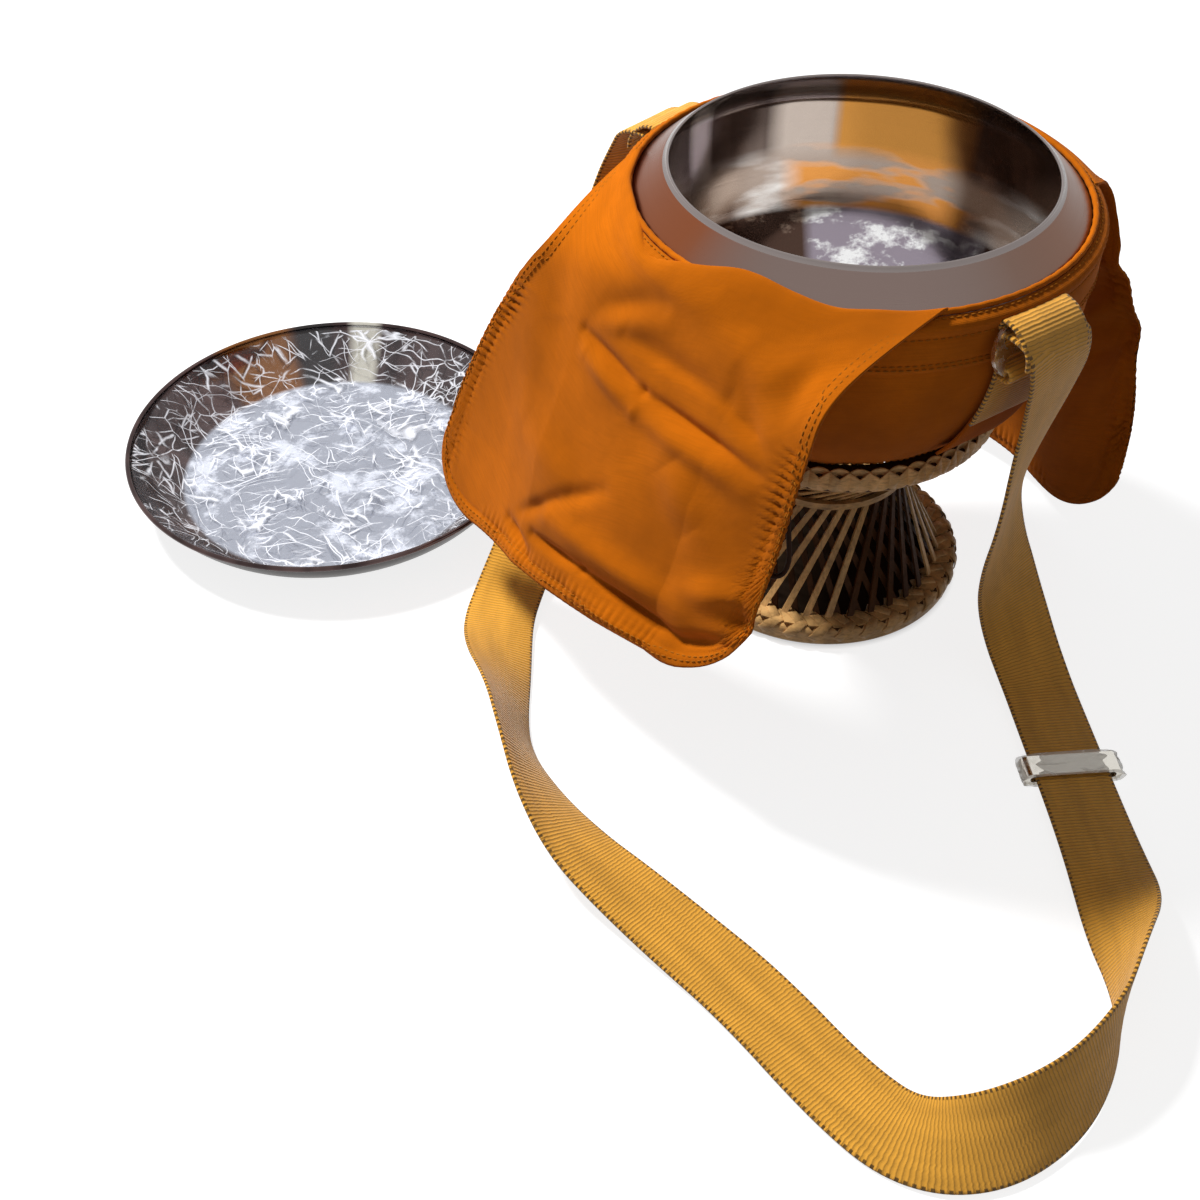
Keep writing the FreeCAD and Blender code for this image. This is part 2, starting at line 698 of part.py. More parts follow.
def make_slider():
    """A flat keeper round the strap, on its longest straight run."""
    runs = [(V(*b[:3]) - V(*a[:3]), V(*a[:3])) for a, b in zip(STRAP_ROUTE, STRAP_ROUTE[1:])]
    run, start = max(runs, key=lambda item: item[0].Length)
    along = V(run).normalize()
    side = UP.cross(along).normalize()
    centre = start + run * SLIDER_ALONG - along * (SLIDER_DEPTH / 2)
    height = SLIDER_OPENING + 2 * SLIDER_BAR
    lower = centre.z - WEBBING_THICKNESS / 2 - CLEARANCE * 2 - SLIDER_BAR
    middle = V(centre.x, centre.y, lower + height / 2)
    body = Part.Face(stadium(middle, side, UP, SLIDER_LENGTH, height)).extrude(along * SLIDER_DEPTH)
    opening = Part.Face(stadium(middle, side, UP, WEBBING_WIDTH + 2 * SLOT_SIDE_ROOM + SLIDER_OPENING,
                                SLIDER_OPENING))
    print("slider at", middle + along * (SLIDER_DEPTH / 2), "axis", along, "foot", lower)
    return body.cut(opening.extrude(along * SLIDER_DEPTH))


def main():
    os.makedirs("parts", exist_ok=True)
    export(make_bowl(), "bowl")
    export(make_lid(), "lid")
    export(make_base_border(), "stand_base_border")
    export(make_base_core(), "stand_base_core")
    export(make_top_border(), "stand_top_border")
    export(make_top_core(), "stand_top_core")
    inside = SPLINT_THICKNESS + SPLINT_GAP
    export(make_tabs(), "stand_base_tabs")
    export(make_splints(0.0, SPLINT_TWIST, BORDER_HEIGHT + TAB_THICKNESS, 0.0), "stand_outer_splints")
    export(make_splints(inside, -SPLINT_TWIST, BORDER_HEIGHT, STEP / 2), "stand_inner_splints")
    export(waist_hoop(WAIST_RADIUS + SPLINT_THICKNESS / 2 + WAIST_HOOP_ROOM), "stand_waist_outer_hoop")
    export(waist_hoop(WAIST_RADIUS - inside - SPLINT_THICKNESS / 2 - CLEARANCE
                      - WAIST_HOOP_THICKNESS), "stand_waist_inner_hoop")
    export(make_sling_body(), "sling_body")
    export(make_sling_bottom(), "sling_bottom")
    export(make_casing(), "mouth_casing")
    export(make_drawcord(), "drawcord")
    export(make_piping(), "mouth_piping")
    for name, flap in (("front_flap", FRONT_FLAP), ("back_flap", BACK_FLAP)):
        export(make_flap(flap), name)
        export(make_flap_root(flap), name + "_root")
    for name, azimuth in (("right", RIGHT_SIDE), ("left", LEFT_SIDE)):
        export(make_anchor(azimuth), "anchor_webbing_" + name)
        export(make_buckle(azimuth), "buckle_" + name)
    export(make_strap(), "shoulder_strap")
    export(make_slider(), "strap_slider")
    export(make_tail(), "drawcord_tail")


main()
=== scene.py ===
"""Alms bowl in a cotton sling on a woven bamboo stand, dressed over its solid model.

Sizes are in metres, +Z up, with the origin at the centre of the stand's foot.
"""
import math

import bpy
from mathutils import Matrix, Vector, noise


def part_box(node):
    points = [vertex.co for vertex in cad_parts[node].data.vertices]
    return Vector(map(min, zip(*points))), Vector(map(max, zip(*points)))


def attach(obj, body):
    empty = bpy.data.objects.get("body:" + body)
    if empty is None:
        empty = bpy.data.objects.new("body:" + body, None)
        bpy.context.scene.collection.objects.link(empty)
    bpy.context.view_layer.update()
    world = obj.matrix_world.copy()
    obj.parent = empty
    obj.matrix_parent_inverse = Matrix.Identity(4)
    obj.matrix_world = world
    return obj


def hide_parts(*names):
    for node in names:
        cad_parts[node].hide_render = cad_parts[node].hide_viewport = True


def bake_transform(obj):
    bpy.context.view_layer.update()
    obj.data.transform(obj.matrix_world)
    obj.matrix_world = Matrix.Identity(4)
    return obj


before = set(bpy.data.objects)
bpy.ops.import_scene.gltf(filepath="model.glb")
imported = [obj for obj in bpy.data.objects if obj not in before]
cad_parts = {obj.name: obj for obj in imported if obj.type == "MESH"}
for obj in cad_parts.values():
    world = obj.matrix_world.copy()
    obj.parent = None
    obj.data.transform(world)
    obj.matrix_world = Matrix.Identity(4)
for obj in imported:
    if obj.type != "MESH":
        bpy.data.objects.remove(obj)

bl_info = {
    "name": "Alms bowl with sling, stand and lid",
    "version": (1, 0, 0),
    "blender": (4, 5, 0),
    "location": "3D View > Sidebar > Alms Bowl",
    "description": "Builds the finishes, cloth, webbing and basketwork of a slung alms bowl",
    "category": "Add Mesh",
}

MM = 0.001
UP = Vector((0.0, 0.0, 1.0))
BODY = "slung_bowl"


def box_of(*nodes):
    """Lowest and highest corner over several nodes of the solid model."""
    corners = [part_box(node) for node in nodes]
    low = Vector([min(corner[0][axis] for corner in corners) for axis in range(3)])
    high = Vector([max(corner[1][axis] for corner in corners) for axis in range(3)])
    return low, high


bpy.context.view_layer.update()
BOWL_LOW, BOWL_HIGH = box_of("bowl")
LID_LOW, LID_HIGH = box_of("lid")
FOOT_HIGH = box_of("stand_base_border")[1]
TOP_LOW, TOP_HIGH = box_of("stand_top_border")

# Bowl, worked out from the solid's box and its shoulder
BOWL_RADIUS = BOWL_HIGH.x
BOWL_WALL = 1.2 * MM
SHOULDER = 16.0 * MM
MOUTH_RADIUS = 93.0 * MM
COLLAR_LEAN = math.radians(48.7)
CASING_TOP = math.radians(41.5)
BAND_HEIGHT = 8.0 * MM
CENTRE_Z = BOWL_LOW.z + BOWL_RADIUS
BAND_TOP = CENTRE_Z + BAND_HEIGHT
SHOULDER_TURN = BOWL_RADIUS - SHOULDER

# Lid, upside down beside the stand
LID_CENTRE = (LID_LOW + LID_HIGH) / 2
LID_RADIUS = (LID_HIGH.x - LID_LOW.x) / 2
LID_FLAT = 92.0 * MM
LID_WALL = 1.0 * MM
LID_BULGE = 4.0 * MM
LID_BEAD = 1.5 * MM

BORDER_TOP = 11.0 * MM
BORDER_ROUND = 3.0 * MM
BORDER_WIDTH = 15.0 * MM
# azimuth runs, in degrees, of outer splints given the dark cane as painted shade
SHADED_SPLINT_RUNS = ((-82.0, -32.0), (20.0, 160.0))

# Sling: inner and outer skin off the bowl, seams as a height and as distances along it
SLING_INNER = 0.35 * MM
SLING_OUTER = 1.4 * MM
BOTTOM_SEAM = 126.0 * MM
CHANNEL_DROP = 4.6 * MM
CHANNEL_HALF = 2.8 * MM
SEAM_HALF = 0.8 * MM
SLING_STEPS = 420
STITCH_STEPS = 720

# Flaps: the side each hangs on, its lean, its edges as along and down, and its seam to
# the mouth band as azimuths either side of its own
HINGE_OUT = 121.5 * MM
HINGE_Z = 220.0 * MM
FLAP_CORNER = 40.0 * MM
FLAP_BULGE = 12.0 * MM
FLAP_FOLD = 5.0 * MM
CLOTH = 1.5 * MM
ROOT_ROWS = 34
PANEL_ROWS = 120
PUCKER_PITCH = 4.3 * MM
SOFTENED_ROWS = 22
SOFTENING_PASSES = 90
STITCH_START = 18
HEM_ROWS = 8
CREASE_WIDTH = 0.8
CREASE_HEIGHT = 1.3
FLAPS = {
    "front_flap": {"azimuth": -140.0, "lean": 20.0, "seam": (-60.0, 64.0),
                   "left": [(-81.0, 0.0), (-114.0, 62.0), (-137.0, 180.0)],
                   "right": [(98.0, 0.0), (101.0, 76.0), (100.0, 152.0)]},
    "back_flap": {"azimuth": 40.0, "lean": 4.0, "seam": (-38.0, 38.0),
                  "left": [(-54.0, 0.0), (-90.0, 62.0), (-103.0, 202.0)],
                  "right": [(54.0, 0.0), (90.0, 62.0), (103.0, 202.0)]},
}

# Soft creases of each flap: from and to as along and down, half width and height, all mm
CREASES = {
    "front_flap": [
        (-36, 18, -1, 3, 5, -2.4), (-34, 27, 2, 12, 6, 1.6), (-45, 36, 2, 45, 4, -2.4),
        (2, 45, 77, 47, 4, -2.6), (-40, 46, 0, 55, 6, 2.2), (2, 55, 74, 57, 7, 2.4),
        (-18, 25, 49, 26, 5, -2.4), (49, 26, 74, 36, 5, -2.2), (49, 13, 70, 31, 4, -2.2),
        (73, 12, 86, 3, 9, -5.0), (60, 2, 78, -6, 7, 2.0), (-65, 154, -41, 159, 5, -3.4),
        (-40, 147, 0, 143, 4, -3.4), (0, 143, 68, 142, 4, -4.4), (68, 142, 88, 130, 5, -4.0),
        (-30, 131, 62, 128, 9, 3.4), (0, 156, 72, 153, 6, 3.2), (-54, 142, -30, 121, 5, -2.2),
        (-31, 121, -2, 100, 6, -2.0), (24, 164, 61, 160, 4, -2.2), (30, 66, 58, 88, 15, 3.6),
        (88, 112, 102, 116, 6, -3.4), (62, 118, 92, 103, 9, 2.6), (-84, 40, -72, 104, 16, 1.2),
        (-70, 96, -20, 112, 16, 2.0), (-80, 4, -66, 40, 14, -2.0),
    ],
    "back_flap": [
        (-76, 2, -52, 12, 9, 5.0), (-90, 36, -60, 42, 9, -5.0), (-100, 72, -80, 78, 10, 4.0),
        (-80, 60, -60, 84, 7, -4.0), (-92, 84, -70, 104, 6, 3.0), (-50, 60, -40, 180, 12, 3.0),
        (20, 30, 30, 180, 14, 3.0), (-20, 40, -8, 190, 10, -2.6),
    ],
}

# Webbing and its route: x, y, z, then the azimuth and rise of its width
WEBBING_WIDTH = 38.0 * MM
WEBBING_THICKNESS = 1.8 * MM
STRAP_ROUTE = [
    (0.0660, -0.0978, 0.2214, 34, 0),
    (0.0740, -0.1097, 0.2226, 34, 0),
    (0.0790, -0.1100, 0.2070, 38, 0),
    (0.0800, -0.1020, 0.1810, 44, 0),
    (0.0770, -0.0985, 0.1500, 54, 0),
    (0.0735, -0.0990, 0.1180, 66, 0),
    (0.0770, -0.0950, 0.0840, 48, 0),
    (0.0870, -0.0895, 0.0500, 26, 0),
    (0.0980, -0.0935, 0.0210, 12, 0),
    (0.1050, -0.1080, 0.0070, 7, 0),
    (0.1080, -0.1270, 0.0035, 5, 0),
    (0.1165, -0.2280, 0.0035, 5, 0),
    (0.1140, -0.2620, 0.0122, 3, 36),
    (0.1070, -0.2940, 0.0196, -20, 80),
    (0.0960, -0.3260, 0.0196, 130, 76),
    (0.0700, -0.3570, 0.0175, 116, 56),
    (0.0340, -0.3740, 0.0124, 98, 34),
    (0.0030, -0.3700, 0.0040, 72, 8),
    (-0.0220, -0.3460, 0.0016, 50, 0),
    (-0.0570, -0.2990, 0.0014, 38, 0),
    (-0.0880, -0.2680, 0.0026, 43, -3),
    (-0.1120, -0.2450, 0.0060, 42, -10),
    (-0.1340, -0.2240, 0.0100, 36, -22),
    (-0.1530, -0.1960, 0.0150, 26, -44),
    (-0.1670, -0.1630, 0.0190, 14, -64),
    (-0.1730, -0.1330, 0.0170, 8, -58),
    (-0.1790, -0.0940, 0.0098, 6, -26),
    (-0.1805, -0.0640, 0.0040, 1, -6),
    (-0.1750, -0.0380, 0.0046, -5, 0),
    (-0.1650, -0.0110, 0.0150, -14, 0),
    (-0.1550, 0.0110, 0.0380, -22, 0),
    (-0.1455, 0.0310, 0.0660, -28, 0),
    (-0.1360, 0.0500, 0.0940, -26, 0),
    (-0.1260, 0.0680, 0.1220, -14, 0),
    (-0.1180, 0.0840, 0.1500, 8, 0),
    (-0.1125, 0.0960, 0.1780, 30, 0),
    (-0.1070, 0.1010, 0.2025, 44, 0),
    (-0.1000, 0.0965, 0.2235, 46, 0),
    (-0.0849, 0.0820, 0.2214, 46, 0),
]
ANCHORS = {"right": -56.0, "left": 136.0}
ANCHOR_FOOT = 140.0 * MM
ANCHOR_SEAM = 167.0 * MM
ANCHOR_OFF = 3.0 * MM
BUCKLE_OFF = 1.7 * MM
BUCKLE_Z = 214.0 * MM
BUCKLE_LEAN = math.radians(14.0)
BUCKLE_BAR = 11.2 * MM
BAR_WRAP = 3.1 * MM
LOOP_TAIL = 5.0 * MM

# Film round the slider, which sits on the strap's straight run over the floor
FLOOR_RUN = (Vector(STRAP_ROUTE[11][:3]) - Vector(STRAP_ROUTE[10][:3])).normalized()
WRAP_LENGTH = 15.0 * MM
WRAP_WIDE = 26.2 * MM
WRAP_HIGH = 4.4 * MM

# Drawcord's tail, a loop behind the front flap
TAIL_DIAMETER = 2.6 * MM
TAIL_ROUTE = [
    (-0.0367, -0.1131, 0.2140),
    (-0.0372, -0.1172, 0.1940),
    (-0.0378, -0.1190, 0.1660),
    (-0.0366, -0.1194, 0.1360),
    (-0.0344, -0.1190, 0.1120),
    (-0.0326, -0.1186, 0.0990),
    (-0.0352, -0.1190, 0.0880),
    (-0.0446, -0.1180, 0.0880),
    (-0.0472, -0.1162, 0.0990),
    (-0.0466, -0.1156, 0.1120),
    (-0.0452, -0.1154, 0.1380),
    (-0.0458, -0.1150, 0.1670),
    (-0.0462, -0.1136, 0.1920),
    (-0.0453, -0.1099, 0.2140),
]

# Photograph's camera
CAMERA_PLACE = (-0.1245, -0.6743, 0.6041)
CAMERA_PITCH = math.radians(43.75)
FRAME_PIXELS = 1200.0
FOCAL_PIXELS = 1552.0
SENSOR = 36.0

# Stage: floor's half width and drop, sky and floor strength, and the key lamp
FLOOR_REACH = 6.0
FLOOR_DROP = 0.4 * MM
FLOOR_GLOW = 0.82
SKY_ON_OBJECT = 0.2
WHITE = (1.0, 1.0, 1.0, 1.0)
FLOOR_PAINT = (0.4, 0.4, 0.4, 1.0)
# painted shadow on the floor inside the stand's foot: its colour, and the radii over which it fades in
FOOT_SHADE = (0.035, 0.022, 0.014, 1.0)
SHADE_EDGE = (0.07, 0.082)
LAMP_PLACE = (-0.9, 0.5, 1.3)
LAMP_TARGET = (0.0, -0.1, 0.1)
LAMP_SIZE = 0.25
LAMP_POWER = 38.0

# Heights at which the painted reflections inside the bowl change, and where its near wall begins
WELL_EDGE = (0.168, 0.171)
RING_EDGE = (0.193, 0.204)
RIM_EDGE = (0.2400, 0.2415)
WALL_EDGE = (0.04, 0.06)


def linear(code):
    """Linear colour of an sRGB hex value."""
    channels = [int(code[i:i + 2], 16) / 255 for i in (1, 3, 5)]
    return tuple(c / 12.92 if c <= 0.04045 else ((c + 0.055) / 1.055) ** 2.4 for c in channels)


def rgba(colour):
    return (colour[0], colour[1], colour[2], 1.0)


def shade(colour, factor):
    return (colour[0] * factor, colour[1] * factor, colour[2] * factor, 1.0)


def polar(radius, degrees, z=0.0):
    angle = math.radians(degrees)
    return Vector((radius * math.cos(angle), radius * math.sin(angle), z))


def arc(middle, radius, first, last, steps):
    """Points on a circle from one angle to another, in degrees."""
    angles = [math.radians(first + (last - first) * i / steps) for i in range(steps + 1)]
    return [(middle[0] + radius * math.cos(a), middle[1] + radius * math.sin(a)) for a in angles]


def smooth(low, high, value):
    share = min(max((value - low) / (high - low), 0.0), 1.0)
    return share * share * (3 - 2 * share)


def bell(value, width):
    return math.exp(-(value / width) ** 2)


# Nodes and materials

def add_node(tree, kind, links=None, **settings):
    """Add a node, set its own settings, then set or link its sockets."""
    node = tree.nodes.new(kind)
    for name, value in settings.items():
        setattr(node, name, value)
    for socket, value in (links or {}).items():
        target = node.inputs[socket]
        if isinstance(value, bpy.types.NodeSocket):
            tree.links.new(value, target)
        else:
            target.default_value = value
    return node


def new_material(name, **sockets):
    """A material with one Principled shader and its constant sockets."""
    made = bpy.data.materials.new(name)
    made.use_nodes = True
    tree = made.node_tree
    shader = tree.nodes["Principled BSDF"]
    for socket, value in sockets.items():
        shader.inputs[socket.replace("_", " ")].default_value = value
    return made, tree, shader


def maths(tree, operation, first, second=0.0):
    return add_node(tree, "ShaderNodeMath", {0: first, 1: second}, operation=operation).outputs[0]


def blend_colour(tree, factor, first, second, mode="MIX"):
    node = add_node(tree, "ShaderNodeMix", data_type="RGBA", blend_type=mode)
    for socket, value in ((0, factor), (6, first), (7, second)):
        if isinstance(value, bpy.types.NodeSocket):
            tree.links.new(value, node.inputs[socket])
        else:
            node.inputs[socket].default_value = value
    return node.outputs[2]


def speckle(tree, vector, scale, detail=2.0, roughness=0.5):
    return add_node(tree, "ShaderNodeTexNoise", {"Vector": vector, "Scale": scale, "Detail": detail,
                                                 "Roughness": roughness}).outputs[0]


def spread(tree, value, low, high, first=0.0, second=1.0):
    sockets = {0: value, 1: low, 2: high, 3: first, 4: second}
    return add_node(tree, "ShaderNodeMapRange", sockets).outputs[0]


def stretched(tree, vector, scale):
    return add_node(tree, "ShaderNodeMapping", {"Vector": vector, "Scale": scale}).outputs[0]


def set_bump(tree, shader, height, distance, strength=1.0):
    bump = add_node(tree, "ShaderNodeBump", {"Height": height, "Distance": distance, "Strength": strength})
    tree.links.new(bump.outputs[0], shader.inputs["Normal"])


def around(tree, middle):
    """Place from an axis: the offset, its direction, its distance and its height."""
    where = add_node(tree, "ShaderNodeTexCoord").outputs["Object"]
    local = add_node(tree, "ShaderNodeVectorMath", {0: where, 1: middle}, operation="SUBTRACT").outputs[0]
    height = add_node(tree, "ShaderNodeSeparateXYZ", {0: local}).outputs[2]
    flat = stretched(tree, local, (1.0, 1.0, 0.0))
    way = add_node(tree, "ShaderNodeVectorMath", {0: flat}, operation="NORMALIZE").outputs[0]
    radius = add_node(tree, "ShaderNodeVectorMath", {0: flat}, operation="LENGTH").outputs["Value"]
    return local, way, radius, height


def spun_steel(name, colour, roughness, mark):
    """Stainless steel sheet, spun over a form: fine rings run round the axis."""
    made, tree, shader = new_material(name, Metallic=1.0)
    where, _, radius, height = around(tree, (0.0, 0.0, 0.0))
    rings = add_node(tree, "ShaderNodeCombineXYZ", {0: radius, 2: height}).outputs[0]
    fine = speckle(tree, rings, 1400.0, 3.0)
    broad = speckle(tree, where, 22.0, 3.0)
    tint = blend_colour(tree, spread(tree, broad, 0.35, 0.7), shade(colour, 0.82), rgba(colour))
    tree.links.new(tint, shader.inputs["Base Color"])
    wear_and_glint = spread(tree, broad, 0.3, 0.7, roughness - 0.03, roughness + 0.04)
    rough = maths(tree, "ADD", spread(tree, fine, 0.3, 0.7, -0.03, 0.05), wear_and_glint)
    tree.links.new(rough, shader.inputs["Roughness"])
    set_bump(tree, shader, fine, mark)
    return made


def facing(tree, way, degrees, half, soft):
    """1 on the part of a wall that faces a direction, soft at its sides."""
    turn = add_node(tree, "ShaderNodeVectorMath", {0: way, 1: tuple(polar(1.0, degrees))},
                    operation="DOT_PRODUCT").outputs["Value"]
    return spread(tree, turn, math.cos(math.radians(half + soft)), math.cos(math.radians(half)))


def toned(tree, base, factor, code):
    return blend_colour(tree, factor, base, rgba(linear(code)))


def collar_steel(name, colour):
    """Satin steel with painted reflections: a warm tone where it would reflect the cloth beside it, and
    greyer patches round it.
    """
    made = spun_steel(name, colour, 0.3, 0.03 * MM)
    tree = made.node_tree
    way = around(tree, (0.0, 0.0, 0.0))[1]
    # painted reflections by azimuth: warm brown at the left where the flap would be reflected, greyer
    # patches at the right and the front
    tone = toned(tree, rgba(colour), facing(tree, way, -168, 20, 30), "#8C5236")
    tone = toned(tree, tone, facing(tree, way, -5, 30, 40), "#77594B")
    tone = toned(tree, tone, facing(tree, way, -100, 14, 30), "#7D6C66")
    tree.links.new(tone, tree.nodes["Principled BSDF"].inputs["Base Color"])
    return made


def mirror_steel(name, colour, kind):
    """Mirror polished steel, with the soft patches of the dim room that it reflects painted into its colour
    as reflections.
    """
    made = spun_steel(name, colour, 0.12, 0.004 * MM)
    tree = made.node_tree
    shader = tree.nodes["Principled BSDF"]
    shader.inputs["Metallic"].default_value = 0.8
    shader.inputs["Specular IOR Level"].default_value = 0.9
    middle = (LID_CENTRE.x, LID_CENTRE.y, 0.0) if kind == "lid" else (0.0, 0.0, 0.0)
    local, way, radius, height = around(tree, middle)
    # painted reflections: streaks and flecks of the room, laid into the base colour
    reflection_streak = spread(tree, speckle(tree, way, 3.1, 3.0, 0.6), 0.38, 0.62)
    reflection_fleck = spread(tree, speckle(tree, stretched(tree, local, (30.0, 34.0, 50.0)), 1.0, 5.0, 0.7), 0.5, 0.6)
    if kind == "lid":
        # the lid: painted reflections on its wall (dark streaks with an orange patch, a bright strip and a
        # dark band) and a bright bluish floor
        wall = blend_colour(tree, reflection_streak, rgba(linear("#2B1D1D")), rgba(linear("#5A4644")))
        wall = toned(tree, wall, maths(tree, "MULTIPLY", facing(tree, way, 122, 9, 6), 0.8), "#8A5620")
        wall = toned(tree, wall, maths(tree, "MULTIPLY", facing(tree, way, 86, 3, 3), 0.8), "#D8D5C8")
        wall = toned(tree, wall, facing(tree, way, 103, 4, 4), "#2E2A2A")
        floor = blend_colour(tree, reflection_fleck, rgba(linear("#A6AAB6")), rgba(linear("#E8ECF8")))
        tone = blend_colour(tree, spread(tree, radius, LID_FLAT * 0.98, LID_FLAT * 1.01), floor, wall)
    else:
        # the bowl: painted reflections on the upper wall, a bright ring with an orange patch, and a well
        # with a pale patch
        upper = blend_colour(tree, reflection_streak, rgba(linear("#3A2A25")), rgba(linear("#8C7A70")))
        upper = toned(tree, upper, facing(tree, way, 96, 6, 6), "#C9BAAE")
        upper = toned(tree, upper, facing(tree, way, 68, 18, 3), "#D08F3C")
        upper = toned(tree, upper, facing(tree, way, 129, 1.5, 3), "#FFF4EA")
        upper = toned(tree, upper, facing(tree, way, 25, 16, 18), "#6B5142")
        upper = toned(tree, upper, facing(tree, way, 185, 30, 20), "#2A1A16")
        waves = speckle(tree, stretched(tree, local, (16.0, 16.0, 70.0)), 1.0, 3.0, 0.5)
        ring = blend_colour(tree, spread(tree, waves, 0.42, 0.58), rgba(linear("#B9A698")),
                            rgba(linear("#FFFAF5")))
        glow = maths(tree, "MULTIPLY", facing(tree, way, 72, 24, 8), spread(tree, waves, 0.4, 0.5))
        ring = toned(tree, ring, glow, "#F2A24C")
        ring = toned(tree, ring, facing(tree, way, 190, 50, 20), "#7A6658")
        pale = blend_colour(tree, reflection_fleck, rgba(linear("#9B909C")), rgba(linear("#FFFFFF")))
        well = toned(tree, rgba(linear("#4A3226")), spread(tree, reflection_fleck, 0.6, 1.0, 0.0, 0.5), "#A48C7A")
        well = blend_colour(tree, facing(tree, way, 66, 27, 4), well, pale)
        belly = maths(tree, "MULTIPLY", speckle(tree, local, 9.0, 1.0), 0.012)
        edge = maths(tree, "ADD", height, belly)
        tone = blend_colour(tree, spread(tree, edge, *RING_EDGE), ring, upper)
        tone = blend_colour(tree, spread(tree, edge, *WELL_EDGE), well, tone)
        # painted reflection: the wall on the near side is painted white, for the sky that it throws back at
        # the far side
        near = maths(tree, "MULTIPLY", facing(tree, way, -90, 70, 20), spread(tree, radius, *WALL_EDGE))
        tone = toned(tree, tone, near, "#FFFFFF")
        # painted reflection: a grey band just under the rim
        tone = toned(tree, tone, spread(tree, height, *RIM_EDGE), "#857B78")
    tree.links.new(tone, shader.inputs["Base Color"])
    return made


def woven_cotton(name, colour):
    """Plain weave cotton drill: matt, with thread lines and faded high places."""
    made, tree, shader = new_material(name, Roughness=0.86, Sheen_Weight=0.05, Sheen_Roughness=0.5,
                                      Specular_IOR_Level=0.12)
    shader.inputs["Sheen Tint"].default_value = (1.0, 0.75, 0.5, 1.0)
    cloth = add_node(tree, "ShaderNodeTexCoord").outputs["UV"]
    # real threads lie 0.45 mm apart, drawn at 0.9 mm so that they show
    pitch = 0.9 * MM
    waves = {"Vector": cloth, "Scale": 1 / pitch / 2, "Distortion": 0.4, "Detail": 1.0}
    warp, weft = [add_node(tree, "ShaderNodeTexWave", waves, bands_direction=way).outputs[1] for way in "XY"]
    weave = maths(tree, "MULTIPLY", warp, weft)
    slubs = speckle(tree, stretched(tree, cloth, (60.0, 900.0, 1.0)), 1.0, 2.0)
    fade = speckle(tree, cloth, 13.0, 5.0, 0.6)
    base = blend_colour(tree, spread(tree, fade, 0.34, 0.66), shade(colour, 0.7), shade(colour, 1.2))
    base = blend_colour(tree, spread(tree, slubs, 0.4, 0.75, 0.0, 0.35), base, shade(colour, 0.7))
    base = blend_colour(tree, spread(tree, weave, 0.0, 0.6, 0.28, 0.0), base, shade(colour, 0.45))
    tree.links.new(base, shader.inputs["Base Color"])
    set_bump(tree, shader, weave, 0.12 * MM, 0.7)
    return made


def ribbed_webbing(name, colour):
    """Polyester webbing: raised ribs across it, and a dotted darker selvedge."""
    made, tree, shader = new_material(name, Roughness=0.62, Sheen_Weight=0.2, Specular_IOR_Level=0.4)
    place = add_node(tree, "ShaderNodeTexCoord").outputs["UV"]
    parts = add_node(tree, "ShaderNodeSeparateXYZ", {0: place})
    across, along = parts.outputs[0], parts.outputs[1]
    # ribs 1.9 mm apart, each a little out of line from one warp yarn to the next
    yarn = speckle(tree, stretched(tree, place, (420.0, 60.0, 1.0)), 1.0, 1.0)
    beat = maths(tree, "ADD", maths(tree, "DIVIDE", along, 1.9 * MM), maths(tree, "MULTIPLY", yarn, 0.5))
    rib = maths(tree, "ABSOLUTE", maths(tree, "SINE", maths(tree, "MULTIPLY", beat, math.pi)))
    edge = maths(tree, "ABSOLUTE", across)
    selvedge = spread(tree, edge, WEBBING_WIDTH / 2 - 1.7 * MM, WEBBING_WIDTH / 2 - 1.2 * MM)
    beads = maths(tree, "SINE", maths(tree, "MULTIPLY", along, 2 * math.pi / (2.6 * MM)))
    dots = maths(tree, "GREATER_THAN", beads, 0.1)
    dotted = maths(tree, "MULTIPLY", selvedge, dots)
    wear = speckle(tree, stretched(tree, place, (120.0, 26.0, 1.0)), 1.0, 3.0)
    base = blend_colour(tree, spread(tree, wear, 0.3, 0.7), shade(colour, 0.85), shade(colour, 1.1))
    base = blend_colour(tree, spread(tree, rib, 0.0, 0.6, 0.7, 0.0), base, shade(colour, 0.4))
    base = blend_colour(tree, dotted, base, shade(colour, 0.16))
    tree.links.new(base, shader.inputs["Base Color"])
    set_bump(tree, shader, rib, 0.35 * MM, 0.8)
    return made


def split_bamboo(name, colour, dark, upright, gloss=0.4):
    """Split cane: long straight fibres, a satin skin and each piece its own tone."""
    made, tree, shader = new_material(name, Specular_IOR_Level=gloss)
    where = add_node(tree, "ShaderNodeTexCoord").outputs["Object"]
    scale = (700.0, 700.0, 30.0) if upright else (260.0, 260.0, 900.0)
    fibre = speckle(tree, stretched(tree, where, scale), 1.0, 3.0, 0.6)
    piece = speckle(tree, stretched(tree, where, (90.0, 90.0, 8.0)), 1.0, 1.0)
    stain = speckle(tree, where, 60.0, 4.0, 0.65)
    base = blend_colour(tree, spread(tree, piece, 0.35, 0.65), shade(colour, 0.72), shade(colour, 1.15))
    base = blend_colour(tree, spread(tree, fibre, 0.45, 0.8, 0.0, 0.6), base, rgba(dark))
    base = blend_colour(tree, spread(tree, stain, 0.56, 0.75, 0.0, 0.7), base, rgba(dark))
    tree.links.new(base, shader.inputs["Base Color"])
    tree.links.new(spread(tree, fibre, 0.3, 0.7, 0.38, 0.6), shader.inputs["Roughness"])
    set_bump(tree, shader, fibre, 0.15 * MM, 0.6)
    return made


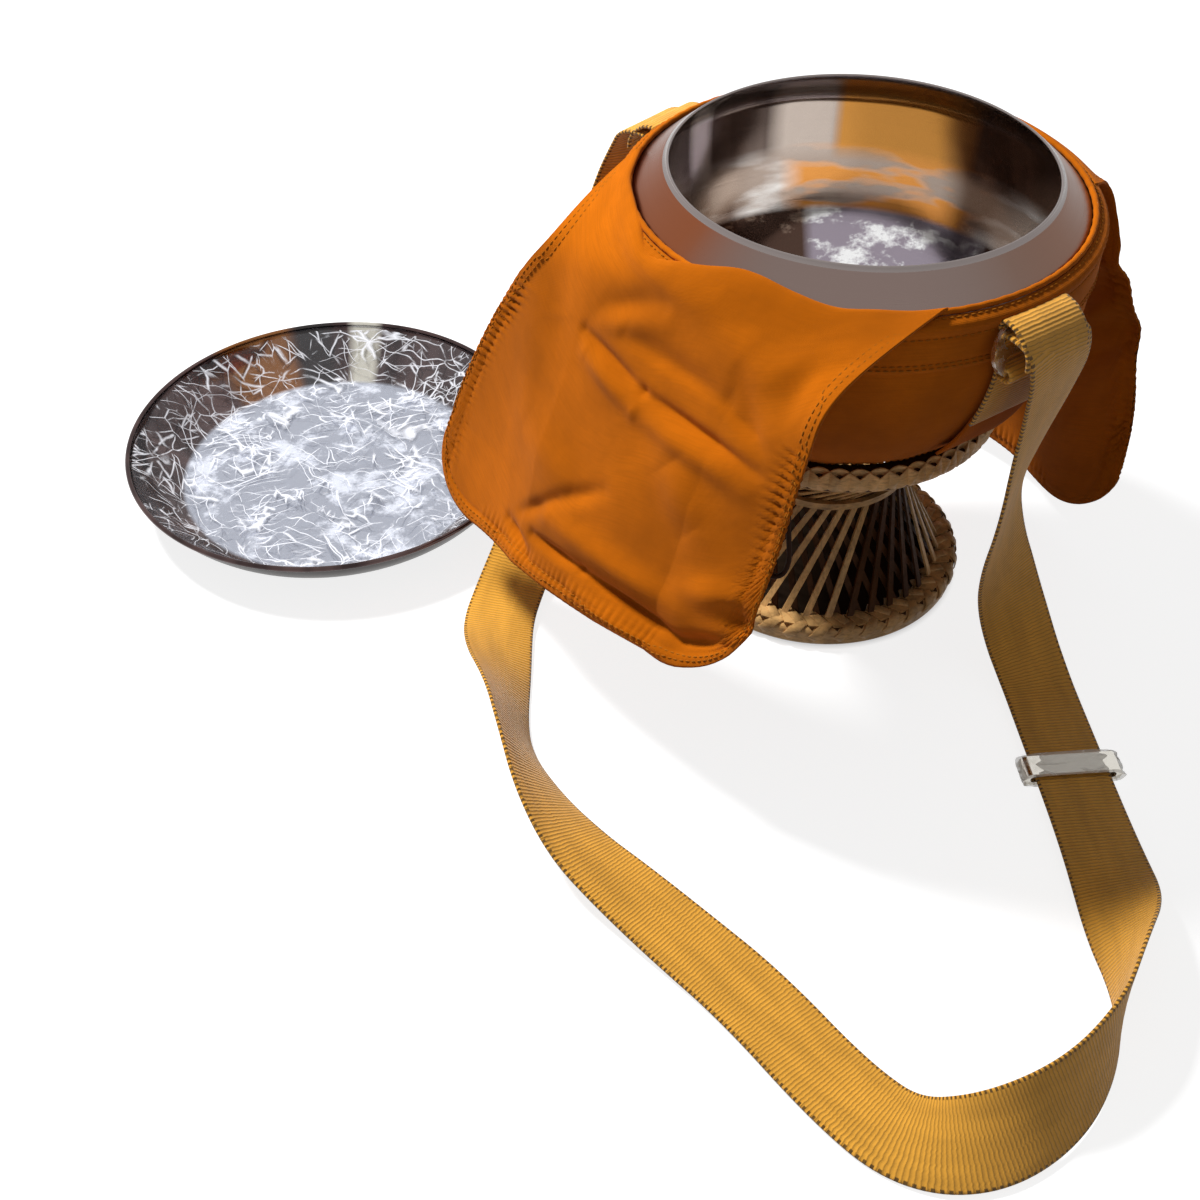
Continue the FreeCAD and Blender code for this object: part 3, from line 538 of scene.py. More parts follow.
def nickel_plate(name, colour):
    """Nickel plated steel: bright, with rubbed patches on the bars."""
    made, tree, shader = new_material(name, Metallic=1.0)
    shader.inputs["Base Color"].default_value = rgba(colour)
    where = add_node(tree, "ShaderNodeTexCoord").outputs["Object"]
    rub = speckle(tree, where, 240.0, 4.0)
    tree.links.new(spread(tree, rub, 0.3, 0.7, 0.14, 0.34), shader.inputs["Roughness"])
    set_bump(tree, shader, rub, 0.03 * MM)
    return made


def clear_film(name, alpha, colour):
    """Thin polythene film: clear, with straight white lines along its creases, painted highlights where they
    would catch the light.
    """
    made, tree, shader = new_material(name, IOR=1.5, Specular_IOR_Level=0.4)
    where = add_node(tree, "ShaderNodeTexCoord").outputs["Object"]
    drift = {0: speckle(tree, where, 30.0, 2.0), 1: (0.012, 0.012, 0.0)}
    bent = add_node(tree, "ShaderNodeVectorMath", drift, operation="MULTIPLY").outputs[0]
    crumpled = add_node(tree, "ShaderNodeVectorMath", {0: where, 1: bent}, operation="ADD").outputs[0]
    line = 0.0
    for turn, scale, thin in ((0.5, (9.0, 90.0, 30.0), 0.03), (-0.35, (8.0, 110.0, 30.0), 0.025),
                              (1.2, (14.0, 100.0, 40.0), 0.03), (0.1, (34.0, 80.0, 60.0), 0.03),
                              (2.2, (24.0, 70.0, 60.0), 0.025)):
        turned = add_node(tree, "ShaderNodeVectorRotate", {"Vector": crumpled, "Angle": turn})
        cells = add_node(tree, "ShaderNodeTexVoronoi", {"Vector": stretched(tree, turned.outputs[0], scale),
                                                        "Scale": 1.0}, feature="DISTANCE_TO_EDGE")
        # painted highlights: the crease lines turn white and less clear, in patches
        crease = spread(tree, cells.outputs["Distance"], 0.0, thin, 1.0, 0.0)
        wear_and_glint = spread(tree, speckle(tree, turned.outputs[0], 34.0 + 12.0 * turn, 3.0), 0.5, 0.58)
        line = maths(tree, "MAXIMUM", line, maths(tree, "MULTIPLY", crease, wear_and_glint))
    shader.inputs["Base Color"].default_value = rgba(colour)
    tree.links.new(spread(tree, line, 0.0, 1.0, alpha, min(1.0, alpha + 0.8)), shader.inputs["Alpha"])
    tree.links.new(spread(tree, line, 0.0, 1.0, 0.08, 0.4), shader.inputs["Roughness"])
    set_bump(tree, shader, speckle(tree, where, 90.0, 4.0, 0.7), 1.2 * MM, 0.7)
    return made


def sewing_thread(name, colour):
    """Spun polyester thread, a little glossier than the cloth."""
    made, tree, shader = new_material(name, Roughness=0.75, Specular_IOR_Level=0.1)
    where = add_node(tree, "ShaderNodeTexCoord").outputs["Object"]
    ply = speckle(tree, where, 1500.0, 1.0)
    base = blend_colour(tree, ply, shade(colour, 0.75), rgba(colour))
    tree.links.new(base, shader.inputs["Base Color"])
    set_bump(tree, shader, ply, 0.1 * MM)
    return made


# Meshes

def make_piece(name, verts, faces, materials, uvs=None, finishes=None):
    """A smooth mesh piece, with a UV for each vertex and a finish for each face."""
    mesh = bpy.data.meshes.new(name)
    mesh.from_pydata([tuple(v) for v in verts], [], faces)
    for made in materials:
        mesh.materials.append(made)
    if uvs:
        layer = mesh.uv_layers.new(name="UVMap")
        for loop in mesh.loops:
            layer.data[loop.index].uv = uvs[loop.vertex_index]
    if finishes:
        for polygon, finish in zip(mesh.polygons, finishes):
            polygon.material_index = finish
    mesh.polygons.foreach_set("use_smooth", [True] * len(mesh.polygons))
    mesh.update()
    piece = bpy.data.objects.new(name, mesh)
    bpy.context.scene.collection.objects.link(piece)
    return piece


def grid_faces(rows, columns, ring=False, flip=False):
    faces = []
    for i in range(rows - 1):
        for j in range(columns if ring else columns - 1):
            a = i * columns + j
            b = i * columns + (j + 1) % columns
            face = (a, b, b + columns, a + columns)
            faces.append(face[::-1] if flip else face)
    return faces


def tube_faces(rows, sides):
    """Faces of a tube of rows, with a cap at each end."""
    faces = grid_faces(rows, sides, ring=True)
    faces.append(tuple(range(sides))[::-1])
    last = (rows - 1) * sides
    faces.append(tuple(range(last, last + sides)))
    return faces


def spin_piece(name, profile, materials, centre=(0.0, 0.0), steps=180, finishes=None, move=None):
    """Turn a profile of radius and height about an upright axis; radius 0 is a pole."""
    verts = []
    uvs = []
    rows = []
    run = 0.0
    last = profile[0]
    for index, (radius, z) in enumerate(profile):
        run += math.hypot(radius - last[0], z - last[1])
        last = (radius, z)
        row = []
        for step in range(1 if radius == 0 else steps):
            angle = 2 * math.pi * step / steps
            out, lift = move(index, angle) if move else (0.0, 0.0)
            row.append(len(verts))
            verts.append((centre[0] + (radius + out) * math.cos(angle),
                          centre[1] + (radius + out) * math.sin(angle), z + lift))
            uvs.append((angle * BOWL_RADIUS, run))
        rows.append(row)
    faces = []
    finish = []
    for index, (low, high) in enumerate(zip(rows, rows[1:])):
        for step in range(steps):
            near, far = step, (step + 1) % steps
            if len(low) == 1 and len(high) == 1:
                continue
            if len(low) == 1:
                face = (low[0], high[far], high[near])
            elif len(high) == 1:
                face = (low[near], low[far], high[0])
            else:
                face = (low[near], low[far], high[far], high[near])
            faces.append(face)
            finish.append(finishes[index] if finishes else 0)
    return make_piece(name, verts, faces, materials, uvs, finish)


def settle(piece):
    """Turn a piece with modifiers into a plain mesh."""
    graph = bpy.context.evaluated_depsgraph_get()
    graph.update()
    mesh = bpy.data.meshes.new_from_object(piece.evaluated_get(graph))
    if piece.type == "MESH":
        piece.modifiers.clear()
        piece.data = mesh
        return piece
    made = bpy.data.objects.new(piece.name + "_mesh", mesh)
    bpy.context.scene.collection.objects.link(made)
    bpy.data.objects.remove(piece)
    return made


def curve_object(name, kind, lines):
    """A curve with one spline for each list of points."""
    curve = bpy.data.curves.new(name, "CURVE")
    curve.dimensions = "3D"
    for points in lines:
        spline = curve.splines.new(kind)
        spline.points.add(len(points) - 1)
        for target, point in zip(spline.points, points):
            target.co = (point[0], point[1], point[2], 1.0)
    holder = bpy.data.objects.new(name, curve)
    bpy.context.scene.collection.objects.link(holder)
    return holder


def nurbs_points(points, steps=12):
    """Points along the NURBS spline that a given route controls."""
    holder = curve_object("route", "NURBS", [points])
    spline = holder.data.splines[0]
    spline.order_u = 3
    spline.use_endpoint_u = True
    spline.resolution_u = steps
    graph = bpy.context.evaluated_depsgraph_get()
    mesh = bpy.data.meshes.new_from_object(holder.evaluated_get(graph))
    places = [v.co.copy() for v in mesh.vertices]
    bpy.data.objects.remove(holder)
    return places


def webbing_piece(name, path, widths, material, across_weave=1.0):
    """Flat webbing along a path, with soft edges and a slight crown."""
    half, thick = WEBBING_WIDTH / 2, WEBBING_THICKNESS / 2
    across = [-1.0, -0.985, -0.93, -0.6, -0.2, 0.2, 0.6, 0.93, 0.985, 1.0]
    section = [(x * half, thick * (0.45 if abs(x) > 0.99 else 0.85 if abs(x) > 0.95 else 1.0))
               for x in across]
    section += [(x, -y) for x, y in section[::-1]]
    verts = []
    uvs = []
    run = 0.0
    for index, place in enumerate(path):
        if index:
            run += (place - path[index - 1]).length
        ahead = path[min(index + 1, len(path) - 1)] - path[max(index - 1, 0)]
        ahead.normalize()
        wide = (widths[index] - ahead * widths[index].dot(ahead)).normalized()
        face = ahead.cross(wide)
        for x, y in section:
            verts.append(place + wide * x + face * y)
            uvs.append((x * across_weave, run))
    return make_piece(name, verts, tube_faces(len(path), len(section)), [material], uvs)


def tube_piece(name, path, radius, material, sides=10):
    verts = []
    side = Vector((1.0, 0.0, 0.0))
    for index, place in enumerate(path):
        ahead = (path[min(index + 1, len(path) - 1)] - path[max(index - 1, 0)]).normalized()
        side = (side - ahead * side.dot(ahead)).normalized()
        other = ahead.cross(side)
        for step in range(sides):
            angle = 2 * math.pi * step / sides
            verts.append(place + (side * math.cos(angle) + other * math.sin(angle)) * radius)
    return make_piece(name, verts, tube_faces(len(path), sides), [material])


# Geometry node trees

def new_tree(name, inputs):
    tree = bpy.data.node_groups.new(name, "GeometryNodeTree")
    tree.interface.new_socket("Geometry", in_out="INPUT", socket_type="NodeSocketGeometry")
    for label, kind in inputs:
        tree.interface.new_socket(label, in_out="INPUT", socket_type=kind)
    tree.interface.new_socket("Geometry", in_out="OUTPUT", socket_type="NodeSocketGeometry")
    return tree, add_node(tree, "NodeGroupInput").outputs


def end_tree(tree, instances, finish):
    """Make the instances real, give them their finish and end the tree."""
    real = add_node(tree, "GeometryNodeRealizeInstances", {0: instances})
    set_it = add_node(tree, "GeometryNodeSetMaterial", {"Geometry": real.outputs[0], "Material": finish})
    add_node(tree, "NodeGroupOutput", {0: set_it.outputs[0]})


def use_tree(piece, tree, values):
    """Run a tree on a piece, with its inputs set by their labels."""
    modifier = piece.modifiers.new(tree.name, "NODES")
    modifier.node_group = tree
    for item in tree.interface.items_tree:
        if item.in_out == "INPUT" and item.name in values:
            modifier[item.identifier] = values[item.name]
    return settle(piece)


def round_tree():
    """Repeat a piece round the upright axis."""
    tree, given = new_tree("repeat_round_axis",
                           [("Count", "NodeSocketInt"), ("Finish", "NodeSocketMaterial")])
    points = add_node(tree, "GeometryNodePoints", {"Count": given["Count"]})
    index = add_node(tree, "GeometryNodeInputIndex").outputs[0]
    step = maths(tree, "DIVIDE", 2 * math.pi, given["Count"])
    turn = maths(tree, "MULTIPLY", index, step)
    rotation = add_node(tree, "ShaderNodeCombineXYZ", {2: turn}).outputs[0]
    euler = add_node(tree, "FunctionNodeEulerToRotation", {0: rotation}).outputs[0]
    placed = add_node(tree, "GeometryNodeInstanceOnPoints",
                      {"Points": points.outputs[0], "Instance": given["Geometry"], "Rotation": euler})
    end_tree(tree, placed.outputs[0], given["Finish"])
    return tree


def stitch_tree():
    """Lay stitches end to end along a seam's curve."""
    sizes = [(label, "NodeSocketFloat") for label in ("Spacing", "Length", "Thread")]
    tree, given = new_tree("stitches_along_seam", sizes + [("Finish", "NodeSocketMaterial")])
    along = add_node(tree, "GeometryNodeCurveToPoints",
                     {"Curve": given["Geometry"], "Length": given["Spacing"]}, mode="LENGTH")
    stitch = add_node(tree, "GeometryNodeMeshUVSphere",
                      {"Segments": 6, "Rings": 4, "Radius": given["Thread"]})
    pull = maths(tree, "DIVIDE", maths(tree, "MULTIPLY", given["Length"], 0.5), given["Thread"])
    scale = add_node(tree, "ShaderNodeCombineXYZ", {0: 1.0, 1: 1.0, 2: pull}).outputs[0]
    placed = add_node(tree, "GeometryNodeInstanceOnPoints",
                      {"Points": along.outputs["Points"], "Instance": stitch.outputs[0],
                       "Rotation": along.outputs["Rotation"], "Scale": scale})
    end_tree(tree, placed.outputs[0], given["Finish"])
    return tree


def seam_stitches(name, lines, settings, finish):
    """Stitches along one or more lines of points."""
    holder = curve_object(name, "POLY", lines)
    tree = bpy.data.node_groups.get("stitches_along_seam") or stitch_tree()
    spacing = settings.stitch_spacing
    made = use_tree(holder, tree, {"Spacing": spacing, "Length": spacing * 0.72,
                                   "Thread": settings.thread_size / 2, "Finish": finish})
    made.name = name
    return made


def repeat_round(piece, count, finish):
    tree = bpy.data.node_groups.get("repeat_round_axis") or round_tree()
    return use_tree(piece, tree, {"Count": count, "Finish": finish})


# Settings that a user may change

def colour_setting(name, use, code):
    return bpy.props.FloatVectorProperty(name=name, description="Colour of " + use, subtype="COLOR",
                                         default=linear(code), min=0.0, max=1.0)


def length_setting(name, use, size, least=0.0):
    return bpy.props.FloatProperty(name=name, description=use, default=size, min=least, unit="LENGTH")


class AlmsBowlSettings(bpy.types.PropertyGroup):
    steel: colour_setting("Polished steel", "the mirror polished inside", "#A5A09C")
    collar: colour_setting("Satin steel", "the satin collar", "#75665F")
    cotton: colour_setting("Cotton", "the sling's cloth", "#C4660A")
    webbing: colour_setting("Webbing", "the strap's webbing", "#DC9E38")
    thread: colour_setting("Thread", "the stitches", "#B0681C")
    cane: colour_setting("Pale cane", "the pale split bamboo", "#C59B63")
    dark_cane: colour_setting("Dark cane", "the smoked split bamboo", "#4A2C14")
    hem: length_setting("Hem", "Width of a flap's turned hem", 7.0 * MM)
    stitch_spacing: length_setting("Stitch spacing", "Distance from one stitch to the next",
                                   3.4 * MM, 0.5 * MM)
    thread_size: length_setting("Thread size", "Thickness of the sewing thread", 0.8 * MM, 0.1 * MM)
    pucker: length_setting("Pucker", "Height of the small gathers along the hems", 1.3 * MM)
    film_depth: length_setting("Film folds", "Height of the folds of the film over the lid", 7.0 * MM)
    tab_count: bpy.props.IntProperty(
        name="Border tabs", description="Number of woven tabs round the foot", default=36, min=3)
    plait_count: bpy.props.IntProperty(
        name="Plait repeats", description="Repeats of the plait round the top ring", default=18, min=3)


MADE = {}


def finish_of(context, name):
    """A material by its plain name, made on first use."""
    settings = context.scene.alms_bowl
    dark = settings.dark_cane
    recipes = {
        "mirror_steel": lambda: mirror_steel("mirror_polished_steel", settings.steel, "bowl"),
        "lid_steel": lambda: mirror_steel("mirror_polished_lid", settings.steel, "lid"),
        # painted reflection: the lid's outside is steel darkened to the dim room it would reflect
        "dark_steel": lambda: spun_steel("lid_outside_painted_reflection", linear("#3A3432"), 0.3, 0.02 * MM),
        "satin_steel": lambda: collar_steel("satin_spun_steel", settings.collar),
        "cotton": lambda: woven_cotton("ochre_cotton_drill", settings.cotton),
        "webbing": lambda: ribbed_webbing("golden_ribbed_webbing", settings.webbing),
        "thread": lambda: sewing_thread("ochre_thread", settings.thread),
        "cane": lambda: split_bamboo("pale_split_bamboo", settings.cane, dark, False),
        "cane_upright": lambda: split_bamboo("pale_bamboo_splints", shade(settings.cane, 1.15), dark, True),
        # painted light: the plait's cane is the pale cane made 1.3 times brighter, though the ring sits in
        # shade
        "plait_cane": lambda: split_bamboo("plait_bamboo_painted_light", shade(settings.cane, 1.3), dark, False),
        # the dark cane: the inner splints' own colour, and also laid on as painted shade
        "dark_cane": lambda: split_bamboo("smoked_bamboo_and_painted_shade", dark, (0.01, 0.006, 0.004), True, 0.08),
        "nickel": lambda: nickel_plate("nickel_plated_steel", linear("#D9D5CC")),
        "film": lambda: clear_film("polythene_film", 0.03, linear("#F6F8FF")),
        "wrap": lambda: clear_film("crumpled_polythene_wrap", 0.5, linear("#F0EDE6")),
        "cord": lambda: sewing_thread("dark_cotton_cord", linear("#2A170D")),
    }
    if name not in MADE:
        MADE[name] = recipes[name]()
    return MADE[name]


def dress_node(node, material):
    """Give a solid that keeps its own shape a finish."""
    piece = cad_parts[node]
    piece.data.materials.clear()
    piece.data.materials.append(material)


# Steel

def bowl_side(offset, top_angle=None):
    """Outline at a distance from the bowl's outside, up to its rim or part way up its shoulder."""
    radius = BOWL_RADIUS + offset
    points = arc((0.0, CENTRE_Z), radius, -90, 0, 40)
    points[0] = (0.0, points[0][1])
    turn = SHOULDER + offset
    for i in range(13):
        angle = (top_angle or COLLAR_LEAN) * i / 12
        points.append((SHOULDER_TURN + turn * math.cos(angle), BAND_TOP + turn * math.sin(angle)))
    if top_angle:
        return points
    start_x, start_z = points[-1]
    length = (start_x - MOUTH_RADIUS) / math.sin(COLLAR_LEAN)
    for i in range(1, 9):
        share = length * i / 8
        points.append((start_x - math.sin(COLLAR_LEAN) * share, start_z + math.cos(COLLAR_LEAN) * share))
    return points


class ALMSBOWL_OT_steel(bpy.types.Operator):
    """Spin the bowl and its lid from sheet, mirror bright inside and satin outside"""
    bl_idname = "almsbowl.steel"
    bl_label = "Steel bowl and lid"

    def execute(self, context):
        mirror = finish_of(context, "mirror_steel")
        satin = finish_of(context, "satin_steel")
        outside = bowl_side(0.0)
        inside = bowl_side(-BOWL_WALL)
        # the mouth's edge is turned over a little, so it catches the light
        rim_r, rim_z = outside[-1]
        rim = arc((rim_r - 0.35 * MM, rim_z - 0.75 * MM), 0.75 * MM, -10, 190, 8)
        outside = outside[:-1]
        inside = inside[:-2][::-1]
        profile = outside + rim + inside
        finishes = [0] * (len(outside) - 1) + [1] * (len(profile) - len(outside))
        bowl = spin_piece("spun_bowl", profile, [satin, mirror], finishes=finishes, steps=240)
        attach(bowl, BODY)
        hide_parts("bowl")

        start = Vector((LID_FLAT, 0.0, 0.0))
        edge = Vector((LID_RADIUS - LID_BEAD, 0.0, LID_HIGH.z - LID_BEAD))
        lower = self.wall(start, edge, 0.0)
        upper = self.wall(start, edge, LID_WALL)
        bead = arc((edge.x, edge.z), LID_BEAD, -70, 180, 12)
        profile = [(0.0, 0.0), (LID_FLAT * 0.5, 0.0)] + lower + bead + upper[::-1]
        profile += [(LID_FLAT * 0.5, LID_WALL), (0.0, LID_WALL)]
        finishes = [0] * (len(lower) + 1) + [1] * (len(profile) - len(lower) - 1)
        plain = [finish_of(context, "dark_steel"), finish_of(context, "lid_steel")]
        lid = spin_piece("spun_lid", profile, plain, centre=(LID_CENTRE.x, LID_CENTRE.y),
                         finishes=finishes, steps=240)
        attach(lid, "lid")
        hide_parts("lid")
        return {"FINISHED"}

    @staticmethod
    def wall(start, edge, inset):
        """The lid's bulging wall, from its flat to its rim, moved in by the sheet."""
        chord = edge - start
        outward = Vector((chord.z, 0.0, -chord.x)).normalized()
        points = []
        for i in range(17):
            share = i / 16
            place = start + chord * share + outward * (4 * LID_BULGE * share * (1 - share) - inset)
            points.append((place.x, max(place.z, inset)))
        return points


class ALMSBOWL_OT_film(bpy.types.Operator):
    """Lay crinkled clear film in the lid and wrap the slider in it"""
    bl_idname = "almsbowl.film"
    bl_label = "Film"

    def execute(self, context):
        depth = context.scene.alms_bowl.film_depth
        film = finish_of(context, "film")
        edge = LID_RADIUS - 3.5 * MM
        profile = [(edge * i / 40, 0.0) for i in range(41)]

        def crinkle(index, angle):
            radius = profile[index][0]
            share = radius / edge
            floor = LID_WALL + (LID_HIGH.z - 4 * MM) * smooth(0.72, 1.06, share)
            place = Vector((radius * math.cos(angle), radius * math.sin(angle), 0.0))
            fold = noise.noise(place * 38.0) * 0.6 + abs(noise.noise(place * 90.0)) * 0.5
            flat = 1 - 0.6 * smooth(0.85, 1.0, share)
            return 0.0, floor + 0.8 * MM + depth * max(0.0, fold + 0.15) * flat

        sheet = spin_piece("lid_film", profile, [film], centre=(LID_CENTRE.x, LID_CENTRE.y), steps=200,
                           move=crinkle)
        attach(sheet, "lid")
        low, high = box_of("strap_slider")
        middle = (low + high) / 2
        side = UP.cross(FLOOR_RUN)
        verts = []
        rows, columns = 24, 48
        for i in range(rows):
            for j in range(columns):
                angle = 2 * math.pi * j / columns
                x = math.copysign(abs(math.cos(angle)) ** 0.55, math.cos(angle))
                y = math.copysign(abs(math.sin(angle)) ** 0.8, math.sin(angle))
                place = middle + FLOOR_RUN * ((i / (rows - 1) - 0.5) * WRAP_LENGTH)
                rough = noise.noise(place * 300.0 + Vector((x, y, 0)) * 2.5) * 1.1 * MM
                verts.append(place + side * (x * (WRAP_WIDE + rough)) + UP * (y * (WRAP_HIGH + rough * 0.4)))
        wrap = make_piece("slider_film", verts, grid_faces(rows, columns, ring=True),
                          [finish_of(context, "wrap")])
        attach(wrap, "slider")
        MADE["slider_film"] = wrap
        return {"FINISHED"}


# Cloth

def flap_axes(cut):
    out = polar(1.0, cut["azimuth"])
    side = UP.cross(out)
    lean = math.radians(cut["lean"])
    down = out * math.sin(lean) - UP * math.cos(lean)
    face = out * math.cos(lean) + UP * math.sin(lean)
    return out, side, down, face


def parabola(points, at):
    """Height at a place on the curve through three points of place and height."""
    (a, ya), (b, yb), (c, yc) = points
    return (ya * (at - b) * (at - c) / ((a - b) * (a - c))
            + yb * (at - a) * (at - c) / ((b - a) * (b - c))
            + yc * (at - a) * (at - b) / ((c - a) * (c - b)))


def through(points, depth):
    """Place along a flap at a depth, on the curve through three points of its edge."""
    return parabola([(d * MM, s * MM) for s, d in points], depth)


def flap_lift(share, depth_share):
    """Height of a flap's crown and folds, from share -1 at its left to 1 at its right."""
    wave = min(max(depth_share * 1.4, 0.05), 1.0)
    crown = FLAP_BULGE * wave
    fold = FLAP_FOLD * wave
    stations = [(-1.0, -crown), (-0.68, -0.45 * crown - fold), (-0.36, 0.0), (0.0, 0.35 * crown),
                (0.36, 0.0), (0.68, -0.45 * crown + fold), (1.0, -crown)]
    start = 0 if share < -0.36 else 2 if share < 0.36 else 4
    return parabola(stations[start:start + 3], share)


def crease_lift(name, along, depth):
    total = 0.0
    for s0, d0, s1, d1, width, height in CREASES[name]:
        start = Vector((s0, d0)) * MM
        run = Vector((s1, d1)) * MM - start
        place = Vector((along, depth)) - start
        share = min(max(place.dot(run) / run.length_squared, 0.0), 1.0)
        gap = (place - run * share).length
        taper = 0.35 + 0.65 * math.sin(math.pi * min(max(share, 0.04), 0.96))
        total += CREASE_HEIGHT * height * MM * taper * bell(gap, CREASE_WIDTH * width * MM)
    return total


def on_mouth(azimuth, climb, off):
    """Place beside the shoulder or collar, by its climb past the collar's foot."""
    turn = SHOULDER + off
    if climb <= 0:
        angle = COLLAR_LEAN + climb / SHOULDER
        return polar(SHOULDER_TURN + turn * math.cos(angle), azimuth, BAND_TOP + turn * math.sin(angle))
    radius = SHOULDER_TURN + turn * math.cos(COLLAR_LEAN) - climb * math.sin(COLLAR_LEAN)
    return polar(radius, azimuth, BAND_TOP + turn * math.sin(COLLAR_LEAN) + climb * math.cos(COLLAR_LEAN))


def root_climb(name, seam):
    """How far the fold at a flap's root stands up against the collar."""
    if name == "back_flap":
        return (-3.0 + 2.0 * noise.noise(Vector((seam * 0.05, 0.2, 0.7)))) * MM
    rise = 1.4 + 7.5 * bell(seam + 123.0, 13.0) - 7.5 * bell(seam + 151.0, 9.0)
    return (rise + 1.2 * noise.noise(Vector((seam * 0.09, 0.4, 0.1)))) * MM


def bezier(points, t):
    while len(points) > 1:
        points = [a * (1 - t) + b * t for a, b in zip(points, points[1:])]
    return points[0]


def flap_column(name, cut, share, settings):
    """One thread line of a flap, from its fold on the mouth band down to its hem."""
    out, side, down, face = flap_axes(cut)
    length = max(d for s, d in cut["left"] + cut["right"]) * MM
    half = max(abs(s) for s, d in cut["left"] + cut["right"]) * MM * 1.02
    seam = cut["azimuth"] + cut["seam"][0] + (cut["seam"][1] - cut["seam"][0]) * share
    climb = root_climb(name, seam)
    top_left, top_right = cut["left"][0][0] * MM, cut["right"][0][0] * MM
    hinge = hinge_line(out) + side * (top_left + (top_right - top_left) * share)
    start = on_mouth(seam, climb, 3.4 * MM)
    gap = hinge - start
    far = smooth(22 * MM, 60 * MM, gap.length)
    near_one = on_mouth(seam, -7.0 * MM, 8.0 * MM)
    near_two = on_mouth(seam, -11.0 * MM, 9.0 * MM)
    far_one = start + gap * 0.38 + UP * 3 * MM
    far_two = start + gap * 0.72 + UP * 2 * MM
    control = [on_mouth(seam, climb - 3.0 * MM, 1.2 * MM), on_mouth(seam, climb + 1.5 * MM, 1.6 * MM),
               on_mouth(seam, climb + 1.0 * MM, 4.6 * MM), near_one * (1 - far) + far_one * far,
               near_two * (1 - far) + far_two * far, hinge]
    points = []
    for i in range(ROOT_ROWS):
        share_down = i / ROOT_ROWS
        place = bezier(control, share_down)
        soft = noise.noise(place * 30.0) * 2.0 * MM * math.sin(math.pi * share_down) * (0.3 + far)
        edge_gap = min(share, 1 - share) * (top_right - top_left)
        run = (share_down - 1.0) * gap.length
        ripple = math.sin(2 * math.pi * run / PUCKER_PITCH + 4.0 * noise.noise(place * 60.0))
        gather = bell(edge_gap - settings.hem, 5.0 * MM) * smooth(0.45, 0.8, share_down)
        soft += settings.pucker * ripple * gather
        points.append(place + face * soft)
    foot_left, foot_right = cut["left"][2][1] * MM, cut["right"][2][1] * MM
    foot = foot_left + (foot_right - foot_left) * share
    width = through(cut["right"], foot * 0.8) - through(cut["left"], foot * 0.8)
    near = min(share, 1 - share) * width
    if near < FLAP_CORNER:
        foot -= FLAP_CORNER - math.sqrt(FLAP_CORNER ** 2 - (FLAP_CORNER - near) ** 2)
    for i in range(PANEL_ROWS):
        depth = foot * i / (PANEL_ROWS - 1)
        left, right = through(cut["left"], depth), through(cut["right"], depth)
        along = left + (right - left) * share
        place = hinge_line(out) + side * along + down * depth
        lift = flap_lift(along / half, depth / length) + crease_lift(name, along, depth)
        lift += noise.noise(Vector((along, depth, 0.3)) * 22.0) * 1.8 * MM * smooth(0.0, 0.04, depth)
        edge_gap = min(share * (right - left), (1 - share) * (right - left))
        hem_gap = min(edge_gap, foot - depth)
        lift += 0.7 * MM * (1 - smooth(settings.hem - 0.8 * MM, settings.hem, hem_gap))
        lift -= 0.5 * MM * bell(hem_gap - settings.hem, 0.9 * MM)
        run = depth if edge_gap <= foot - depth else along
        shift = 3.0 * noise.noise(Vector((along, depth, 0.0)) * 50.0)
        ripple = math.sin(2 * math.pi * run / PUCKER_PITCH + shift)
        strength = 1.0 if edge_gap <= foot - depth else 0.35
        strength *= 0.75 + 0.8 * noise.noise(Vector((run * 40.0, share * 9.0, 0.6)))
        lift += settings.pucker * strength * ripple * bell(hem_gap - settings.hem, 5.5 * MM)
        points.append(place + face * lift)
    soften = 0.25 + 0.75 * smooth(0.3, 1.0, abs(2 * share - 1))
    for _ in range(SOFTENING_PASSES):
        for i in range(ROOT_ROWS - SOFTENED_ROWS, ROOT_ROWS + SOFTENED_ROWS + 1):
            pull = 0.5 * soften * (1 - ((i - ROOT_ROWS) / (SOFTENED_ROWS + 1)) ** 2)
            points[i] = points[i] * (1 - pull) + (points[i - 1] + points[i + 1]) * (pull / 2)
    return points


def hinge_line(out):
    return out * HINGE_OUT + UP * HINGE_Z


def flap_shares(count=150, edge=16):
    """Places across a flap, closer together round its lower corners."""
    corner = 0.19
    start = [corner * (1 - math.cos(math.pi / 2 * i / edge)) for i in range(edge)]
    middle = [corner + (1 - 2 * corner) * i / (count - 1) for i in range(count)]
    return start + middle + [1 - share for share in start[::-1]]


